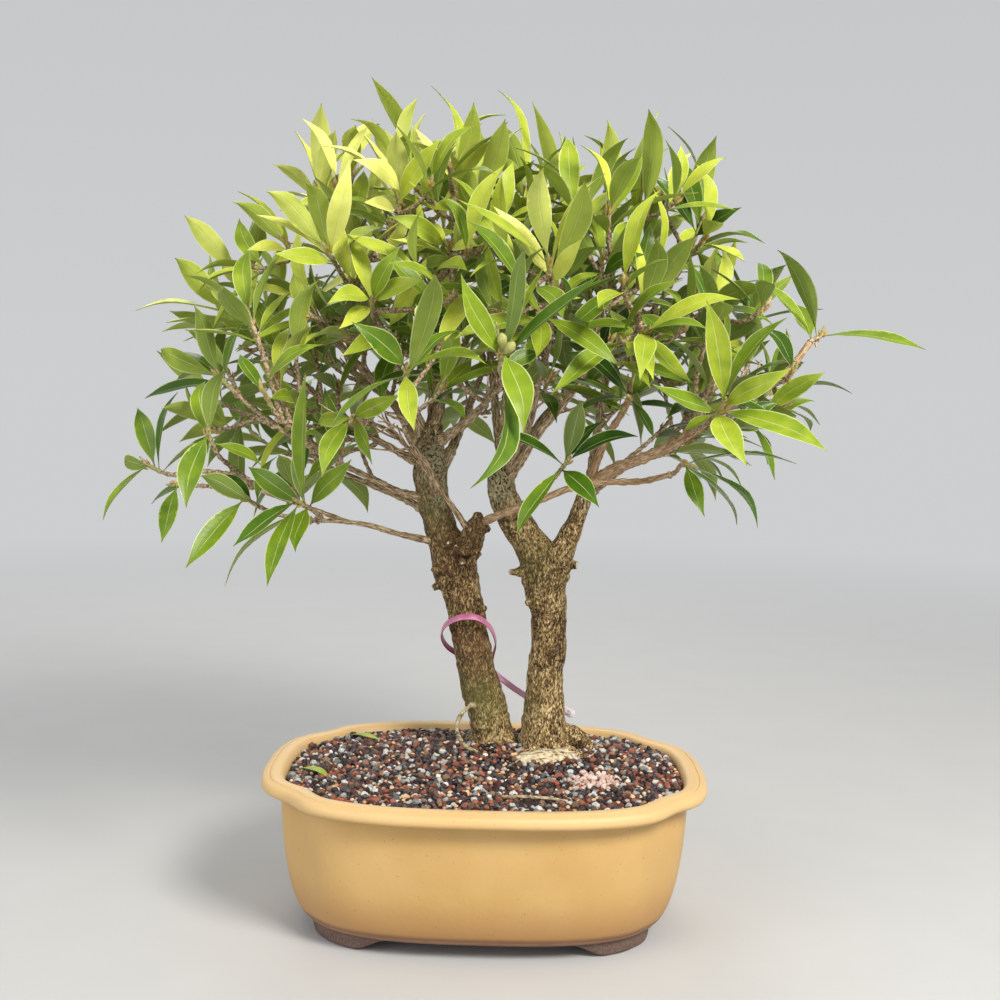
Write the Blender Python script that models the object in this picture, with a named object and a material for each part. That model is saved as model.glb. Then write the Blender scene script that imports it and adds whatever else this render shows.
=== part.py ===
"""Twin trunk willow leaf fig bonsai in its lobed oval pot.

Sizes are in millimetres until a mesh is made. The pot stands on Z = 0 with its long side along X, and the
tree is seen in the photograph from the -Y side. At the end all pieces are moved so that the origin is the
middle of the bottom of the whole object's box.
"""
import math
import random
from collections import namedtuple

import bmesh
import bpy
from mathutils import Matrix, Vector
from mathutils.bvhtree import BVHTree

MM = 0.001
UP = Vector((0.0, 0.0, 1.0))
FRONT = Vector((0.02, -0.96, 0.28))
GAP = 0.35

# Pot
POT_HALF_LENGTH = 127.0
POT_HALF_WIDTH = 99.0
POT_ROUNDNESS = 2.74
QUARTER_STEPS = (0, 10, 19, 25.5, 29, 31.7, 34.5, 38.5, 46, 57, 69, 80)
POT_POINTS = 4 * len(QUARTER_STEPS)
NOTCH_ANGLE = 0.553
NOTCH_DEPTH = 4.9
NOTCH_WIDTH = 0.125
RIM_HEIGHT = 88.4
FLOOR_HEIGHT = 15.0
# Height, inset from the rim's outline, share of the notch's depth
POT_OUTSIDE = [
    (8.9, 26.6, 0.1), (12.0, 23.2, 0.2), (20.0, 18.9, 0.3), (34.0, 15.2, 0.5), (60.0, 11.9, 0.7),
    (79.4, 11.2, 0.9), (80.3, 2.0, 1.0), (82.4, 0.2, 1.0), (86.0, 0.6, 1.0), (RIM_HEIGHT, 3.4, 1.0),
]
POT_INSIDE = [(87.9, 11.4, 1.0), (84.0, 13.6, 0.8), (50.0, 19.0, 0.4), (FLOOR_HEIGHT, 32.0, 0.1)]
# Feet: top inside the clay, inset of the outer side, width, open lengths of the front and side between the
# feet, sections along a foot and the length and rise of its ogee ends
FOOT_TOP = 10.5
FOOT_OUTER_INSET = 29.0
FOOT_WIDTH = 15.0
FOOT_FRONT_GAP = 46.0
FOOT_SIDE_GAP = 29.0
FOOT_STEPS = 10
FOOT_FINE = 8
FOOT_OGEE = 11.0
FOOT_RISE = 8.0
DRAIN_X = 46.0
DRAIN_RADIUS = 9.0
DRAIN_SIDES = 18
SCREEN_SIZE = 30.0
SCREEN_THICKNESS = 0.9

# Soil
SOIL_RIM = 83.8
MOUND_HEIGHT = 9.0
MOUND_CENTRE = (20.0, 24.0)
MOUND_SPREAD = (62.0, 42.0)
GRAIN_RELIEF = 0.9
SOCKET_GAP = 0.7
# Height and inset down the pot's wall, then the shares of the rim's size at which the top's rings lie
SOIL_SIDES = [(50.0, 19.7), (SOIL_RIM - 0.6, 14.6)]
SOIL_BOTTOM_INSET = 32.4
SOIL_TOP_INSET = 14.8
SOIL_RINGS = (1.0, 0.82, 0.62, 0.4, 0.17)

# Wood: middle line points with their radius
TRUNK_SIDES = 10
BRANCH_SIDES = 5
TRUNKS = {
    "left_trunk": [
        (8, 35, 70, 13), (6, 34, 85, 13.4), (3, 34, 98, 12.6), (-1, 33, 114, 12.1), (-7, 31, 135, 11.4),
        (-11, 30, 154, 11.2), (-14, 29, 171, 11.1), (-17, 28, 184, 11.3), (-21, 27, 197, 13.1),
        (-24, 26, 208, 12.0), (-29, 25, 220, 9.6), (-33, 24, 233, 9.2), (-36, 23, 251, 9.7),
        (-37, 22, 268, 8.8), (-36, 22, 284, 6.4)],
    "right_trunk": [
        (35, 28, 70, 15), (35, 27, 86, 15.4), (34, 27, 96, 14.4), (34, 27, 106, 13.1), (34, 26, 120, 11.8),
        (34, 25, 138, 10.5), (36, 24, 157, 10.5), (35, 23, 172, 10.4), (33, 22, 186, 11.9),
        (32, 21, 196, 13.6), (28, 20, 207, 11.8), (20, 18, 219, 9.6), (12, 16, 232, 9.5), (7, 14, 243, 8.4),
        (5, 13, 253, 7.6), (6, 13, 264, 5.2)],
}
BRANCHES = {
    "root_bridge": [(6, 34, 77, 9), (20, 31, 75, 9), (35, 28, 77, 9)],
    "root_front": [(36, 26, 95, 7), (27, 15, 90, 6.5), (16, 8, 86, 4.5), (8, 3, 82, 2.5)],
    "root_right": [(38, 22, 95, 8), (46, 15, 91, 6.5), (55, 13, 88, 4.5), (64, 13, 82, 2.5)],
    "root_back": [(0, 38, 92, 7), (-9, 46, 88, 5.5), (-20, 53, 81, 3)],
    "root_lump": [(42, 28, 100, 8), (53, 28, 97, 6), (62, 29, 90, 4)],
    "aerial_root": [(-6, 25, 118, 1.8), (-14, 20, 113, 1.9), (-18, 16, 105, 2), (-14, 12, 96, 2),
                    (-5, 12, 90, 2), (2, 14, 84, 2)],
    "knuckle": [(-21, 24, 206, 8.5), (-13, 20, 213, 7.8), (-9, 17, 222, 6), (-6, 15, 229, 4.6)],
    "left_nub": [(-20, 26, 191, 6), (-30, 24, 188, 3.6), (-34, 23, 186, 2.6)],
    "right_nub": [(40, 20, 201, 7), (47, 17, 203, 4), (51, 15, 203, 2.8)],
    "fork_nub": [(28, 18, 200, 6), (15, 17, 198, 3.4), (11, 16, 198, 2.6)],
    "tag_nub": [(-14, 26, 168, 5), (-17, 17, 168, 2.6), (-18, 13.5, 168.5, 2.2)],
    "right_limb": [(34, 21, 190, 10.7), (39, 20, 204, 8.8), (45, 19, 217, 6.5), (50, 18, 231, 5.3),
                   (54, 16, 243, 4.7), (58, 14, 254, 4.6)],
    "right_long": [(56, 15, 250, 4.1), (69, 6, 260, 4), (84, -6, 267, 4), (100, -18, 276, 3.6),
                   (115, -30, 288, 3.3), (132, -38, 301, 2.7), (150, -36, 310, 2.5), (161, -32, 319, 2.4),
                   (172, -30, 334, 2.1)],
    "cross": [(-7, 16, 226, 3.4), (8, 3, 234, 2.6), (25, -4, 241, 2.6), (45, -8, 250, 2.5),
              (62, -13, 254, 2.4), (83, -26, 256, 2.2), (97, -42, 261, 1.8)],
    "right_rise": [(57, 15, 250, 3.6), (59, 15, 271, 2.9), (62, 16, 291, 2.6), (65, 16, 311, 2.3),
                   (70, 14, 340, 2), (66, 8, 366, 1.7)],
    "right_front": [(57, 13, 253, 3.4), (65, 2, 278, 2.6), (75, -14, 298, 2.2), (78, -30, 317, 1.9),
                    (78, -46, 332, 1.6)],
    "centre_rise": [(5, 13, 253, 4), (6, 14, 275, 2.9), (7, 15, 299, 2.6), (10, 16, 333, 2.3),
                    (15, 15, 367, 2), (22, 12, 388, 1.7)],
    "centre_lean": [(7, 12, 254, 4), (20, 2, 282, 2.9), (25, -10, 305, 2.5), (30, -26, 328, 2.2),
                    (32, -44, 342, 1.8)],
    "centre_slant": [(8, 12, 250, 4), (27, -4, 281, 2.8), (42, -22, 301, 2.5), (52, -32, 320, 2.1),
                     (56, -40, 342, 1.7)],
    "left_thick": [(-36, 22, 270, 6), (-28, 18, 276, 5.3), (-17, 12, 284, 4.1), (-6, 0, 295, 3),
                   (1, -26, 303, 2.2), (5, -58, 306, 1.8), (7, -88, 310, 1.5)],
    "left_rise": [(-36, 22, 276, 5.5), (-30, 22, 301, 4.1), (-28, 20, 327, 3.2), (-28, 14, 355, 2.6),
                  (-25, 2, 378, 2.1)],
    "left_back_rise": [(-37, 22, 270, 5.5), (-36, 32, 297, 3.6), (-40, 38, 327, 3), (-46, 38, 357, 2.4),
                       (-50, 30, 386, 2)],
    "left_fan": [(-38, 23, 270, 5), (-52, 14, 306, 3.2), (-63, 0, 334, 2.6), (-73, -14, 356, 2.2)],
    "left_low": [(-28, 25, 213, 4), (-53, 14, 219, 2.4), (-69, 2, 225, 2.1), (-84, -16, 229, 1.9),
                 (-98, -34, 231, 1.7)],
    "far_low": [(-80, -11, 228, 1.7), (-104, -16, 237, 1.6), (-128, -22, 246, 1.5), (-142, -26, 254, 1.3)],
    "left_second": [(-37, 22, 240, 4.2), (-53, 12, 244, 2.9), (-68, 2, 252, 2.6), (-87, -10, 262, 2.2),
                    (-103, -22, 272, 1.9)],
    "left_upper": [(-40, 22, 259, 4.6), (-56, 22, 267, 2.9), (-72, 20, 276, 2.7), (-92, 14, 290, 2.5),
                   (-112, 8, 308, 2.2), (-128, 4, 322, 1.9)],
    "left_high": [(-40, 22, 268, 4.6), (-61, 28, 297, 3), (-83, 26, 320, 2.7), (-100, 16, 340, 2.3),
                  (-108, 4, 356, 1.9)],
    "left_front": [(-32, 20, 239, 5), (-36, 0, 259, 2.9), (-43, -24, 272, 2.5), (-46, -50, 284, 2),
                   (-43, -76, 294, 1.6)],
    "left_twig": [(-12, 19, 220, 3), (-27, 7, 243, 1.9), (-46, 0, 268, 1.8), (-58, -18, 281, 1.6),
                  (-68, -42, 286, 1.4)],
    "back_left": [(-37, 26, 262, 5), (-50, 48, 284, 3.2), (-70, 66, 300, 2.7), (-94, 80, 316, 2.2)],
    "back_left_low": [(-29, 30, 222, 4.5), (-48, 48, 234, 3), (-76, 62, 244, 2.4), (-106, 74, 254, 1.9)],
    "back_mid": [(-33, 26, 250, 5), (-22, 50, 276, 3.4), (-14, 76, 300, 2.7), (-8, 98, 318, 2)],
    "back_right": [(7, 15, 246, 4.6), (20, 40, 274, 3.2), (40, 64, 300, 2.6), (56, 84, 320, 2)],
    "back_right_low": [(55, 17, 243, 4), (76, 36, 258, 3), (104, 54, 272, 2.4), (130, 66, 284, 1.9)],
    "back_top": [(6, 14, 260, 4), (0, 36, 300, 2.9), (-4, 56, 336, 2.4), (0, 66, 366, 1.9)],
}
BURIED = ("left_trunk", "right_trunk", "root_bridge", "root_front", "root_right", "root_back", "root_lump",
          "aerial_root")
KNOT_NOISE = 0.06

# Tag strap: middle line of the strip, the number of its points in the loop round the trunk, the loop's middle
STRAP_PATH = [
    (-2, 47.5, 139), (-14, 49, 140), (-25, 42.5, 147), (-28.5, 30, 157), (-25, 17, 166), (-16, 10.6, 171.5),
    (-6, 11.2, 171), (1.2, 20, 163.5), (4, 33, 152.5), (2.5, 44, 143), (0.5, 48.5, 134.5), (8, 50, 126.5),
    (24, 47, 116.5), (36, 46, 112.5), (45, 40, 111), (52, 31, 110),
]
STRAP_LOOP_POINTS = 11
STRAP_LOOP_CENTRE = (-12.0, 30.0, 155.0)
STRAP_WIDTH = 3.8
STRAP_THICKNESS = 0.9

# Leaves: reach along the leaf, share of the widest place
LEAF_SECTIONS = [(0.0, 0.0), (0.34, 0.94), (0.68, 0.84)]
LEAF_WIDTH = 13.0
LEAF_LENGTH = 46.0
LEAF_THICKNESS = 0.9
PETIOLE_WIDTH = 0.7
LEAF_ARCH = 0.07
LEAF_SPACING = 2.3
STEM_SIDES = 4
STEM_RADIUS = 1.6
STEM_TIP_RADIUS = 1.15
BUD_LENGTH = 6.0
CLEARANCE = 0.7
STALK_START = 0.10

# Shoots of the photographed side: branch, tip of the shoot, then each leaf's own tip as seen from the shoot's
# tip, with the width that it shows to the front
SHOOTS = {
    "far_left_tip": ("far_low", (-192, -22, 259), [
        (-23, -10, -29, 7), (-7, -25, 5, 7), (-8, 13, 32, 13), (15, -3, 41, 7), (37, -6, 15, 5)]),
    "far_left_drop": ("far_low", (-172, -34, 249), [(-1, -21, -29, 12), (-2, 26, 30, 14), (-18, 9, -8, 6)]),
    "left_near_drop": ("far_low", (-148, -62, 279), [
        (-6, -29, -35, 16), (11, -17, 37, 6), (-12, 24, 29, 12), (25, 21, -16, 7)]),
    "left_arm": ("left_second", (-150, -34, 310), [
        (-25, -33, 14, 10), (-3, -19, 37, 8), (9, 19, 29, 8), (-44, 9, -16, 10), (-30, 11, 16, 7)]),
    "left_fan_tip": ("left_upper", (-147, 2, 345), [
        (-27, -32, 31, 15), (-30, 7, 25, 7), (-48, -33, 3, 5), (16, -12, 30, 9), (-34, -27, -8, 4),
        (-30, 4, -16, 5)]),
    "left_fan_top": ("left_upper", (-146, 8, 367), [
        (-24, -28, 31, 14), (15, -16, 33, 9), (1, 10, 35, 5), (-6, -18, 6, 6)]),
    "left_inner": ("left_second", (-118, -72, 303), [
        (30, -18, 24, 8), (-7, -16, 5, 6), (-17, 16, 18, 8), (14, 32, -6, 7)]),
    "left_low_big": ("left_low", (-132, -48, 244), [
        (-23, -32, -34, 13), (-20, -22, 16, 12), (-15, 13, 13, 7), (9, 27, 21, 8)]),
    "left_low_near": ("left_low", (-99, -72, 245), [
        (-26, -28, -22, 10), (-8, -39, -39, 11), (-1, -24, -21, 9), (-4, 18, 29, 9), (9, -24, 65, 8),
        (-30, 21, 17, 13), (32, -14, 20, 9), (-43, 7, -41, 5)]),
    "left_mid_near": ("left_twig", (-70, -84, 288), [
        (-12, -30, -24, 12), (-14, 21, -33, 5), (25, -19, 13, 6), (12, -16, -9, 7), (-21, 22, -1, 7)]),
    "centre_left_near": ("left_front", (-40, -112, 315), [
        (-20, -29, 19, 14), (39, -23, 7, 7), (4, -21, -29, 11), (-31, -33, -25, 6), (18, -39, 45, 6),
        (22, 21, 22, 9)]),
    "centre_near": ("left_thick", (7, -128, 323), [
        (14, -30, -32, 16), (-17, 24, 17, 11), (-23, -24, 31, 9), (6, -32, 48, 6), (43, -25, 31, 8),
        (-1, -45, -61, 8), (20, 15, 41, 6), (18, 24, 1, 10)]),
    "centre_right_low": ("cross", (41, -78, 270), [
        (6, -18, 31, 10), (16, 10, 21, 8), (33, -16, 16, 8), (-37, -18, 15, 7), (-28, -4, -37, 10),
        (15, -20, -20, 13)]),
    "right_low_tip": ("cross", (104, -66, 268), [
        (37, -36, -22, 6), (4, -21, -23, 10), (34, 22, -32, 5), (57, 8, 4, 5)]),
    "right_inner": ("right_front", (73, -54, 302), [
        (-31, -22, 27, 9), (8, 27, 19, 12), (-20, -27, -1, 5), (15, 13, -22, 7)]),
    "right_near": ("right_long", (116, -100, 301), [
        (-13, -29, 49, 14), (-11, 22, 46, 9), (27, -8, 43, 7), (26, -25, 13, 8), (46, -30, -18, 12),
        (5, -21, -26, 17), (-36, -21, 4, 9), (-17, 19, -15, 6)]),
    "right_end": ("right_long", (178, -30, 338), [
        (48, -31, -8, 5), (-29, -19, 47, 5), (-29, 19, 30, 6), (-12, 27, 20, 14)]),
    "right_end_low": ("right_long", (159, -54, 318), [(-16, -8, 24, 9), (16, -19, 12, 5), (-21, 25, -7, 7)]),
    "right_top_tip": ("right_rise", (115, -2, 401), [
        (10, -25, 40, 15), (-16, -14, 34, 13), (-4, 7, 55, 4), (-30, -17, 24, 10),
        (15, -25, 4, 7), (25, -31, -1, 4)]),
    "right_mid_near": ("right_front", (76, -72, 351), [
        (7, -28, 31, 13), (23, -26, 33, 9), (-5, 17, 40, 7), (16, -12, -17, 9), (-13, 15, -14, 8)]),
    "right_side_tip": ("right_rise", (122, -20, 355), [
        (-6, -17, 26, 10), (7, 12, 31, 10), (27, -26, 18, 4), (33, 12, 9, 4), (26, -23, -10, 7)]),
    "top_right_pale": ("right_rise", (81, -26, 404), [
        (-1, -29, 50, 9), (7, 11, 54, 5), (12, 9, 37, 6), (-6, 8, 43, 6), (-19, -20, -21, 12)]),
    "top_right_mid": ("right_rise", (60, -4, 411), [
        (3, -17, 40, 11), (-7, 9, 34, 12), (11, -20, 28, 4), (-15, 10, 40, 7), (-12, -27, 1, 8)]),
    "top_centre_right": ("centre_rise", (36, 14, 410), [
        (0, -15, 37, 8), (5, 7, 45, 5), (-15, 0, 57, 8)]),
    "top_centre": ("centre_rise", (15, 16, 419), [
        (-8, -18, 37, 9), (-3, 10, 63, 8), (-14, -14, 20, 7), (9, 10, 27, 7)]),
    "top_centre_front": ("centre_lean", (28, -92, 369), [
        (-8, -34, 41, 11), (-44, -27, 23, 8), (-2, -25, 8, 13), (17, -38, 35, 9), (24, 23, 48, 5),
        (-22, -16, 21, 10), (12, -26, 14, 5)]),
    "top_left_centre": ("left_rise", (-24, -20, 417), [
        (12, -28, 37, 9), (-5, 18, 55, 7), (14, -24, 31, 5), (-6, -16, 25, 8), (-15, 12, 28, 5)]),
    "top_left_second": ("left_rise", (-9, -36, 403), [
        (14, -34, 39, 8), (13, -26, 25, 7), (-1, -23, 23, 6), (11, 16, 5, 6), (-25, -22, -3, 7)]),
    "top_left": ("left_back_rise", (-46, 6, 430), [
        (-23, -33, 41, 5), (-20, -26, 23, 7), (2, 10, 32, 6), (13, -16, 13, 9), (-16, -20, 15, 8),
        (-8, 15, 19, 6)]),
    "top_left_front": ("left_fan", (-49, -48, 407), [
        (-19, -24, 15, 11), (-28, -36, 15, 4), (-5, -29, 24, 8), (20, -26, 24, 9), (-26, 23, 36, 6),
        (-17, -15, -7, 7)]),
    "left_crown_tip": ("left_fan", (-99, -20, 411), [
        (2, -25, 43, 10), (14, -23, 30, 6), (-17, -19, 15, 4), (-12, 14, 33, 5), (15, 12, 28, 5)]),
    "left_crown_front": ("left_fan", (-87, -62, 376), [
        (-21, -36, 27, 10), (-3, -26, 33, 9), (17, -27, 38, 10), (-14, -24, 4, 9), (-28, -23, 10, 7)]),
    "left_crown_side": ("left_high", (-116, -22, 384), [
        (-13, -21, 23, 8), (-24, 8, 28, 5), (-11, 12, 23, 8), (-15, -17, -8, 7), (-2, -14, -11, 7)]),
    "centre_left_top": ("left_rise", (-24, -58, 379), [
        (-23, -22, 17, 10), (-11, 18, 15, 9), (17, -17, -1, 6), (8, -21, 13, 8), (-23, -25, 2, 6),
        (-15, 16, -9, 8)]),
    "left_centre_inner": ("left_fan", (-61, -78, 349), [
        (-18, -27, 0, 8), (16, -24, 17, 7), (26, -21, 8, 8), (-13, 16, 34, 10), (-11, -17, -16, 8),
        (12, 22, -6, 7)]),
    "right_centre_inner": ("centre_slant", (57, -48, 375), [
        (-19, -27, 19, 7), (17, -28, 19, 6), (-6, 19, 30, 9), (-22, -18, -18, 7), (18, -21, 2, 7)]),
}
# Shoots of the far side, which grow their leaves by the spiral rule: branch, tip, number of leaves
BACK_SHOOTS = {
    "back_far_left": ("back_left_low", (-152, 82, 272), 6),
    "back_left_drop": ("back_left_low", (-112, 118, 250), 6),
    "back_left_mid": ("back_left", (-140, 92, 334), 6),
    "back_left_top": ("back_left", (-98, 78, 392), 6),
    "back_left_near": ("back_left", (-86, 124, 336), 6),
    "back_mid_low": ("back_mid", (-30, 134, 292), 6),
    "back_mid_high": ("back_mid", (-34, 112, 372), 6),
    "back_mid_right": ("back_mid", (20, 128, 330), 6),
    "back_top_left": ("back_top", (-30, 70, 424), 6),
    "back_top_right": ("back_top", (30, 68, 420), 6),
    "back_right_mid": ("back_right", (76, 116, 344), 6),
    "back_right_top": ("back_right", (88, 72, 390), 6),
    "back_right_end": ("back_right_low", (170, 64, 308), 6),
    "back_right_drop": ("back_right_low", (124, 108, 276), 6),
    "back_right_side": ("back_right_low", (150, 28, 352), 6),
}
GOLDEN_TURN = math.radians(137.5)
TRIES = 60
LEAF_SHIFT = 1.3
LEAF_SHIFTS = 6
# Stems leave their branch every PLACE_STEP, at least PLACE_ROOM apart
PLACE_STEP = 5.0
PLACE_ROOM = 4.5
PLACE_CHOICES = 5
# Side shoots fill the crown's outside where it has most room: each tip is the best of TIP_CHOICES drawn ones
# between CROWN_INNER and 1 of the way out to the crown's oval, and its stem is SIDE_NEAR to SIDE_FAR long
CROWN_MIDDLE = (0, 15, 318)
CROWN_HALF = (172, 122, 108)
CROWN_INNER = 0.86
CROWN_LOWEST = -0.3
SIDE_SHOOTS = 9
SIDE_LEAVES = 5
SIDE_SEED = 41
SIDE_NEAR = 16
SIDE_FAR = 80
SIDE_TRIES = 10
TIP_CHOICES = 60

# Loose pieces on the soil: leaf bases with their heading, twig middle line with its radius; they are made
# LYING_LIFT above the soil and lowered onto it by LOWER_STEP
LYING_LIFT = GRAIN_RELIEF + 1.4
LOWER_STEP = 0.05
LYING_LEAF_LENGTH = 24.0
LYING_LEAF_WIDTH = 8.0
LYING_LEAVES = {"fallen_leaf_left": (-107, -10, -0.6), "fallen_leaf_back": (-88, 62, -0.5)}
LYING_TWIG = [(10, -56, 0.0, 0.9), (22.6, -57.4, 0.8, 1.1), (35.2, -58.8, 0.9, 0.9), (46, -60, 0.0, 0.6)]


def clear_scene():
    for item in list(bpy.data.objects):
        bpy.data.objects.remove(item, do_unlink=True)


def plain_material(name, colour, roughness):
    material = bpy.data.materials.new(name)
    material.use_nodes = True
    shader = material.node_tree.nodes["Principled BSDF"]
    shader.inputs["Base Color"].default_value = (*colour, 1.0)
    shader.inputs["Roughness"].default_value = roughness
    shader.inputs["Metallic"].default_value = 0.0
    material.diffuse_color = (*colour, 1.0)
    return material


def make_object(name, points, faces, material, smooth=True):
    """An object from points in millimetres."""
    mesh = bpy.data.meshes.new(name)
    mesh.from_pydata([tuple(c * MM for c in p) for p in points], [], faces)
    mesh.materials.append(material)
    if smooth:
        mesh.shade_smooth()
        mesh.set_sharp_from_angle(angle=math.radians(40))
    item = bpy.data.objects.new(name, mesh)
    bpy.context.scene.collection.objects.link(item)
    return item


def boolean(item, others, operation):
    """Joins or cuts item with the other objects, which are then removed."""
    group = bpy.data.collections.new("operands")
    for other in others:
        group.objects.link(other)
    modifier = item.modifiers.new("boolean", "BOOLEAN")
    modifier.operation = operation
    modifier.operand_type = "COLLECTION"
    modifier.collection = group
    modifier.solver = "EXACT"
    graph = bpy.context.evaluated_depsgraph_get()
    mesh = bpy.data.meshes.new_from_object(item.evaluated_get(graph))
    item.modifiers.clear()
    item.data = mesh
    for other in others:
        bpy.data.objects.remove(other, do_unlink=True)
    bpy.data.collections.remove(group)
    return item


# Pot


def quarter_angles(fine):
    """Polar angles of a quarter of the outline, closer together at the notch; fine divides each step."""
    steps = [math.radians(angle) for angle in QUARTER_STEPS] + [math.pi / 2]
    return [low + (high - low) * i / fine for low, high in zip(steps, steps[1:]) for i in range(fine)]


def rim_outline(inset, notch_share, fine=1):
    """The lobed oval moved inwards by inset, counter-clockwise from +X."""
    quarter = quarter_angles(fine)
    mirrored = [math.pi - angle for angle in reversed(quarter[1:] + [math.pi / 2])]
    angles = quarter + mirrored
    angles += [math.pi + angle for angle in angles]
    points = []
    for angle in angles:
        c, s = math.cos(angle), math.sin(angle)
        oval = (abs(c / POT_HALF_LENGTH) ** POT_ROUNDNESS + abs(s / POT_HALF_WIDTH) ** POT_ROUNDNESS)
        offset = (math.asin(min(abs(s), 1.0)) - NOTCH_ANGLE) / NOTCH_WIDTH
        reach = oval ** (-1 / POT_ROUNDNESS) - notch_share * NOTCH_DEPTH * math.exp(-offset * offset)
        points.append(Vector((c * reach, s * reach, 0)))
    moved = []
    for i, point in enumerate(points):
        along = points[(i + 1) % len(points)] - points[i - 1]
        moved.append(point - inset * Vector((along.y, -along.x, 0)).normalized())
    return moved


def ring_faces(first, second, count):
    return [(first + i, first + (i + 1) % count, second + (i + 1) % count, second + i) for i in range(count)]


def pot_shell(material):
    points = []
    faces = []
    levels = POT_OUTSIDE + POT_INSIDE
    for height, inset, notch in levels:
        points += [(p.x, p.y, height) for p in rim_outline(inset, notch)]
    for level in range(len(levels) - 1):
        faces += ring_faces(level * POT_POINTS, (level + 1) * POT_POINTS, POT_POINTS)
    faces.append(tuple(reversed(range(POT_POINTS))))
    faces.append(tuple(range((len(levels) - 1) * POT_POINTS, len(levels) * POT_POINTS)))
    return make_object("pot", points, faces, material)


def corner_path(outline):
    """The part of an outline in the +X +Y quarter that carries a foot."""
    return [p for p in outline if p.x > FOOT_FRONT_GAP and p.y > FOOT_SIDE_GAP]


def foot(name, sign_x, sign_y, material):
    """One corner foot: a strip under the corner whose ends rise in an ogee."""
    outer_top = corner_path(rim_outline(FOOT_OUTER_INSET - 1.0, 0.1, FOOT_FINE))
    outer = corner_path(rim_outline(FOOT_OUTER_INSET, 0.1, FOOT_FINE))
    middle = corner_path(rim_outline(FOOT_OUTER_INSET + FOOT_WIDTH, 0.1, FOOT_FINE))
    span = (outer[0] - outer[-1]).length
    points = []
    faces = []
    for step in range(FOOT_STEPS):
        share = step / (FOOT_STEPS - 1)
        top_out, out, inner = (row[round(share * (len(row) - 1))] for row in (outer_top, outer, middle))
        rise = min(min(share, 1 - share) * span / FOOT_OGEE, 1.0)
        sole = FOOT_RISE * (0.5 + 0.5 * math.cos(math.pi * rise))
        for p, z in ((top_out, FOOT_TOP), (out, sole), (inner, sole), (inner, FOOT_TOP)):
            points.append((p.x * sign_x, p.y * sign_y, z))
    for step in range(FOOT_STEPS - 1):
        faces += ring_faces(step * 4, step * 4 + 4, 4)
    last = (FOOT_STEPS - 1) * 4
    faces += [(0, 3, 2, 1), (last, last + 1, last + 2, last + 3)]
    if sign_x * sign_y < 0:
        faces = [tuple(reversed(face)) for face in faces]
    return outward(make_object(name, points, faces, material))


def outward(item):
    """Turns an object's faces outwards."""
    shape = bmesh.new()
    shape.from_mesh(item.data)
    bmesh.ops.recalc_face_normals(shape, faces=shape.faces)
    shape.to_mesh(item.data)
    shape.free()
    return item


def drain_cutter(x, material):
    mesh = bpy.data.meshes.new("drain_cutter")
    shape = bmesh.new()
    bmesh.ops.create_cone(shape, cap_ends=True, segments=DRAIN_SIDES, radius1=DRAIN_RADIUS * MM,
                          radius2=DRAIN_RADIUS * MM, depth=2 * FLOOR_HEIGHT * MM,
                          matrix=Matrix.Translation((x * MM, 0, FLOOR_HEIGHT * MM / 2)))
    shape.to_mesh(mesh)
    shape.free()
    mesh.materials.append(material)
    item = bpy.data.objects.new("drain_cutter", mesh)
    bpy.context.scene.collection.objects.link(item)
    return item


def build_pot(material):
    pot = pot_shell(material)
    feet = [foot("foot", sx, sy, material) for sx in (-1, 1) for sy in (-1, 1)]
    pot = boolean(pot, feet, "UNION")
    return boolean(pot, [drain_cutter(x, material) for x in (-DRAIN_X, DRAIN_X)], "DIFFERENCE")


def build_screen(name, x, material):
    low = FLOOR_HEIGHT + GAP
    half = SCREEN_SIZE / 2
    points = [(x + dx * half, dy * half, low + dz * SCREEN_THICKNESS)
              for dz in (0, 1) for dx, dy in ((-1, -1), (1, -1), (1, 1), (-1, 1))]
    faces = [(3, 2, 1, 0), (4, 5, 6, 7), (0, 1, 5, 4), (1, 2, 6, 5), (2, 3, 7, 6), (3, 0, 4, 7)]
    return make_object(name, points, faces, material, smooth=False)


# Soil


def soil_height(x, y):
    dx = (x - MOUND_CENTRE[0]) / MOUND_SPREAD[0]
    dy = (y - MOUND_CENTRE[1]) / MOUND_SPREAD[1]
    return SOIL_RIM + MOUND_HEIGHT * math.exp(-dx * dx - dy * dy)


def build_soil(material, cutters):
    draw = random.Random(11)
    points = []
    faces = []
    sides = [(FLOOR_HEIGHT + 2 * GAP + SCREEN_THICKNESS, SOIL_BOTTOM_INSET)] + SOIL_SIDES
    for height, inset in sides:
        notch = 0.1 + 0.6 * (height / RIM_HEIGHT) ** 2
        points += [(p.x, p.y, height) for p in rim_outline(inset, notch)]
    for ring, share in enumerate(SOIL_RINGS):
        for p in rim_outline(SOIL_TOP_INSET, 0.7):
            x, y = p.x * share, p.y * share
            bump = draw.uniform(-GRAIN_RELIEF, GRAIN_RELIEF) if ring else 0.0
            points.append((x, y, soil_height(x, y) + bump))
    rings = len(sides) + len(SOIL_RINGS)
    for ring in range(rings - 1):
        faces += ring_faces(ring * POT_POINTS, (ring + 1) * POT_POINTS, POT_POINTS)
    faces.append(tuple(reversed(range(POT_POINTS))))
    faces.append(tuple(range((rings - 1) * POT_POINTS, rings * POT_POINTS)))
    soil = make_object("soil", points, faces, material)
    return boolean(soil, cutters, "DIFFERENCE")


# Tubes


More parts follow.
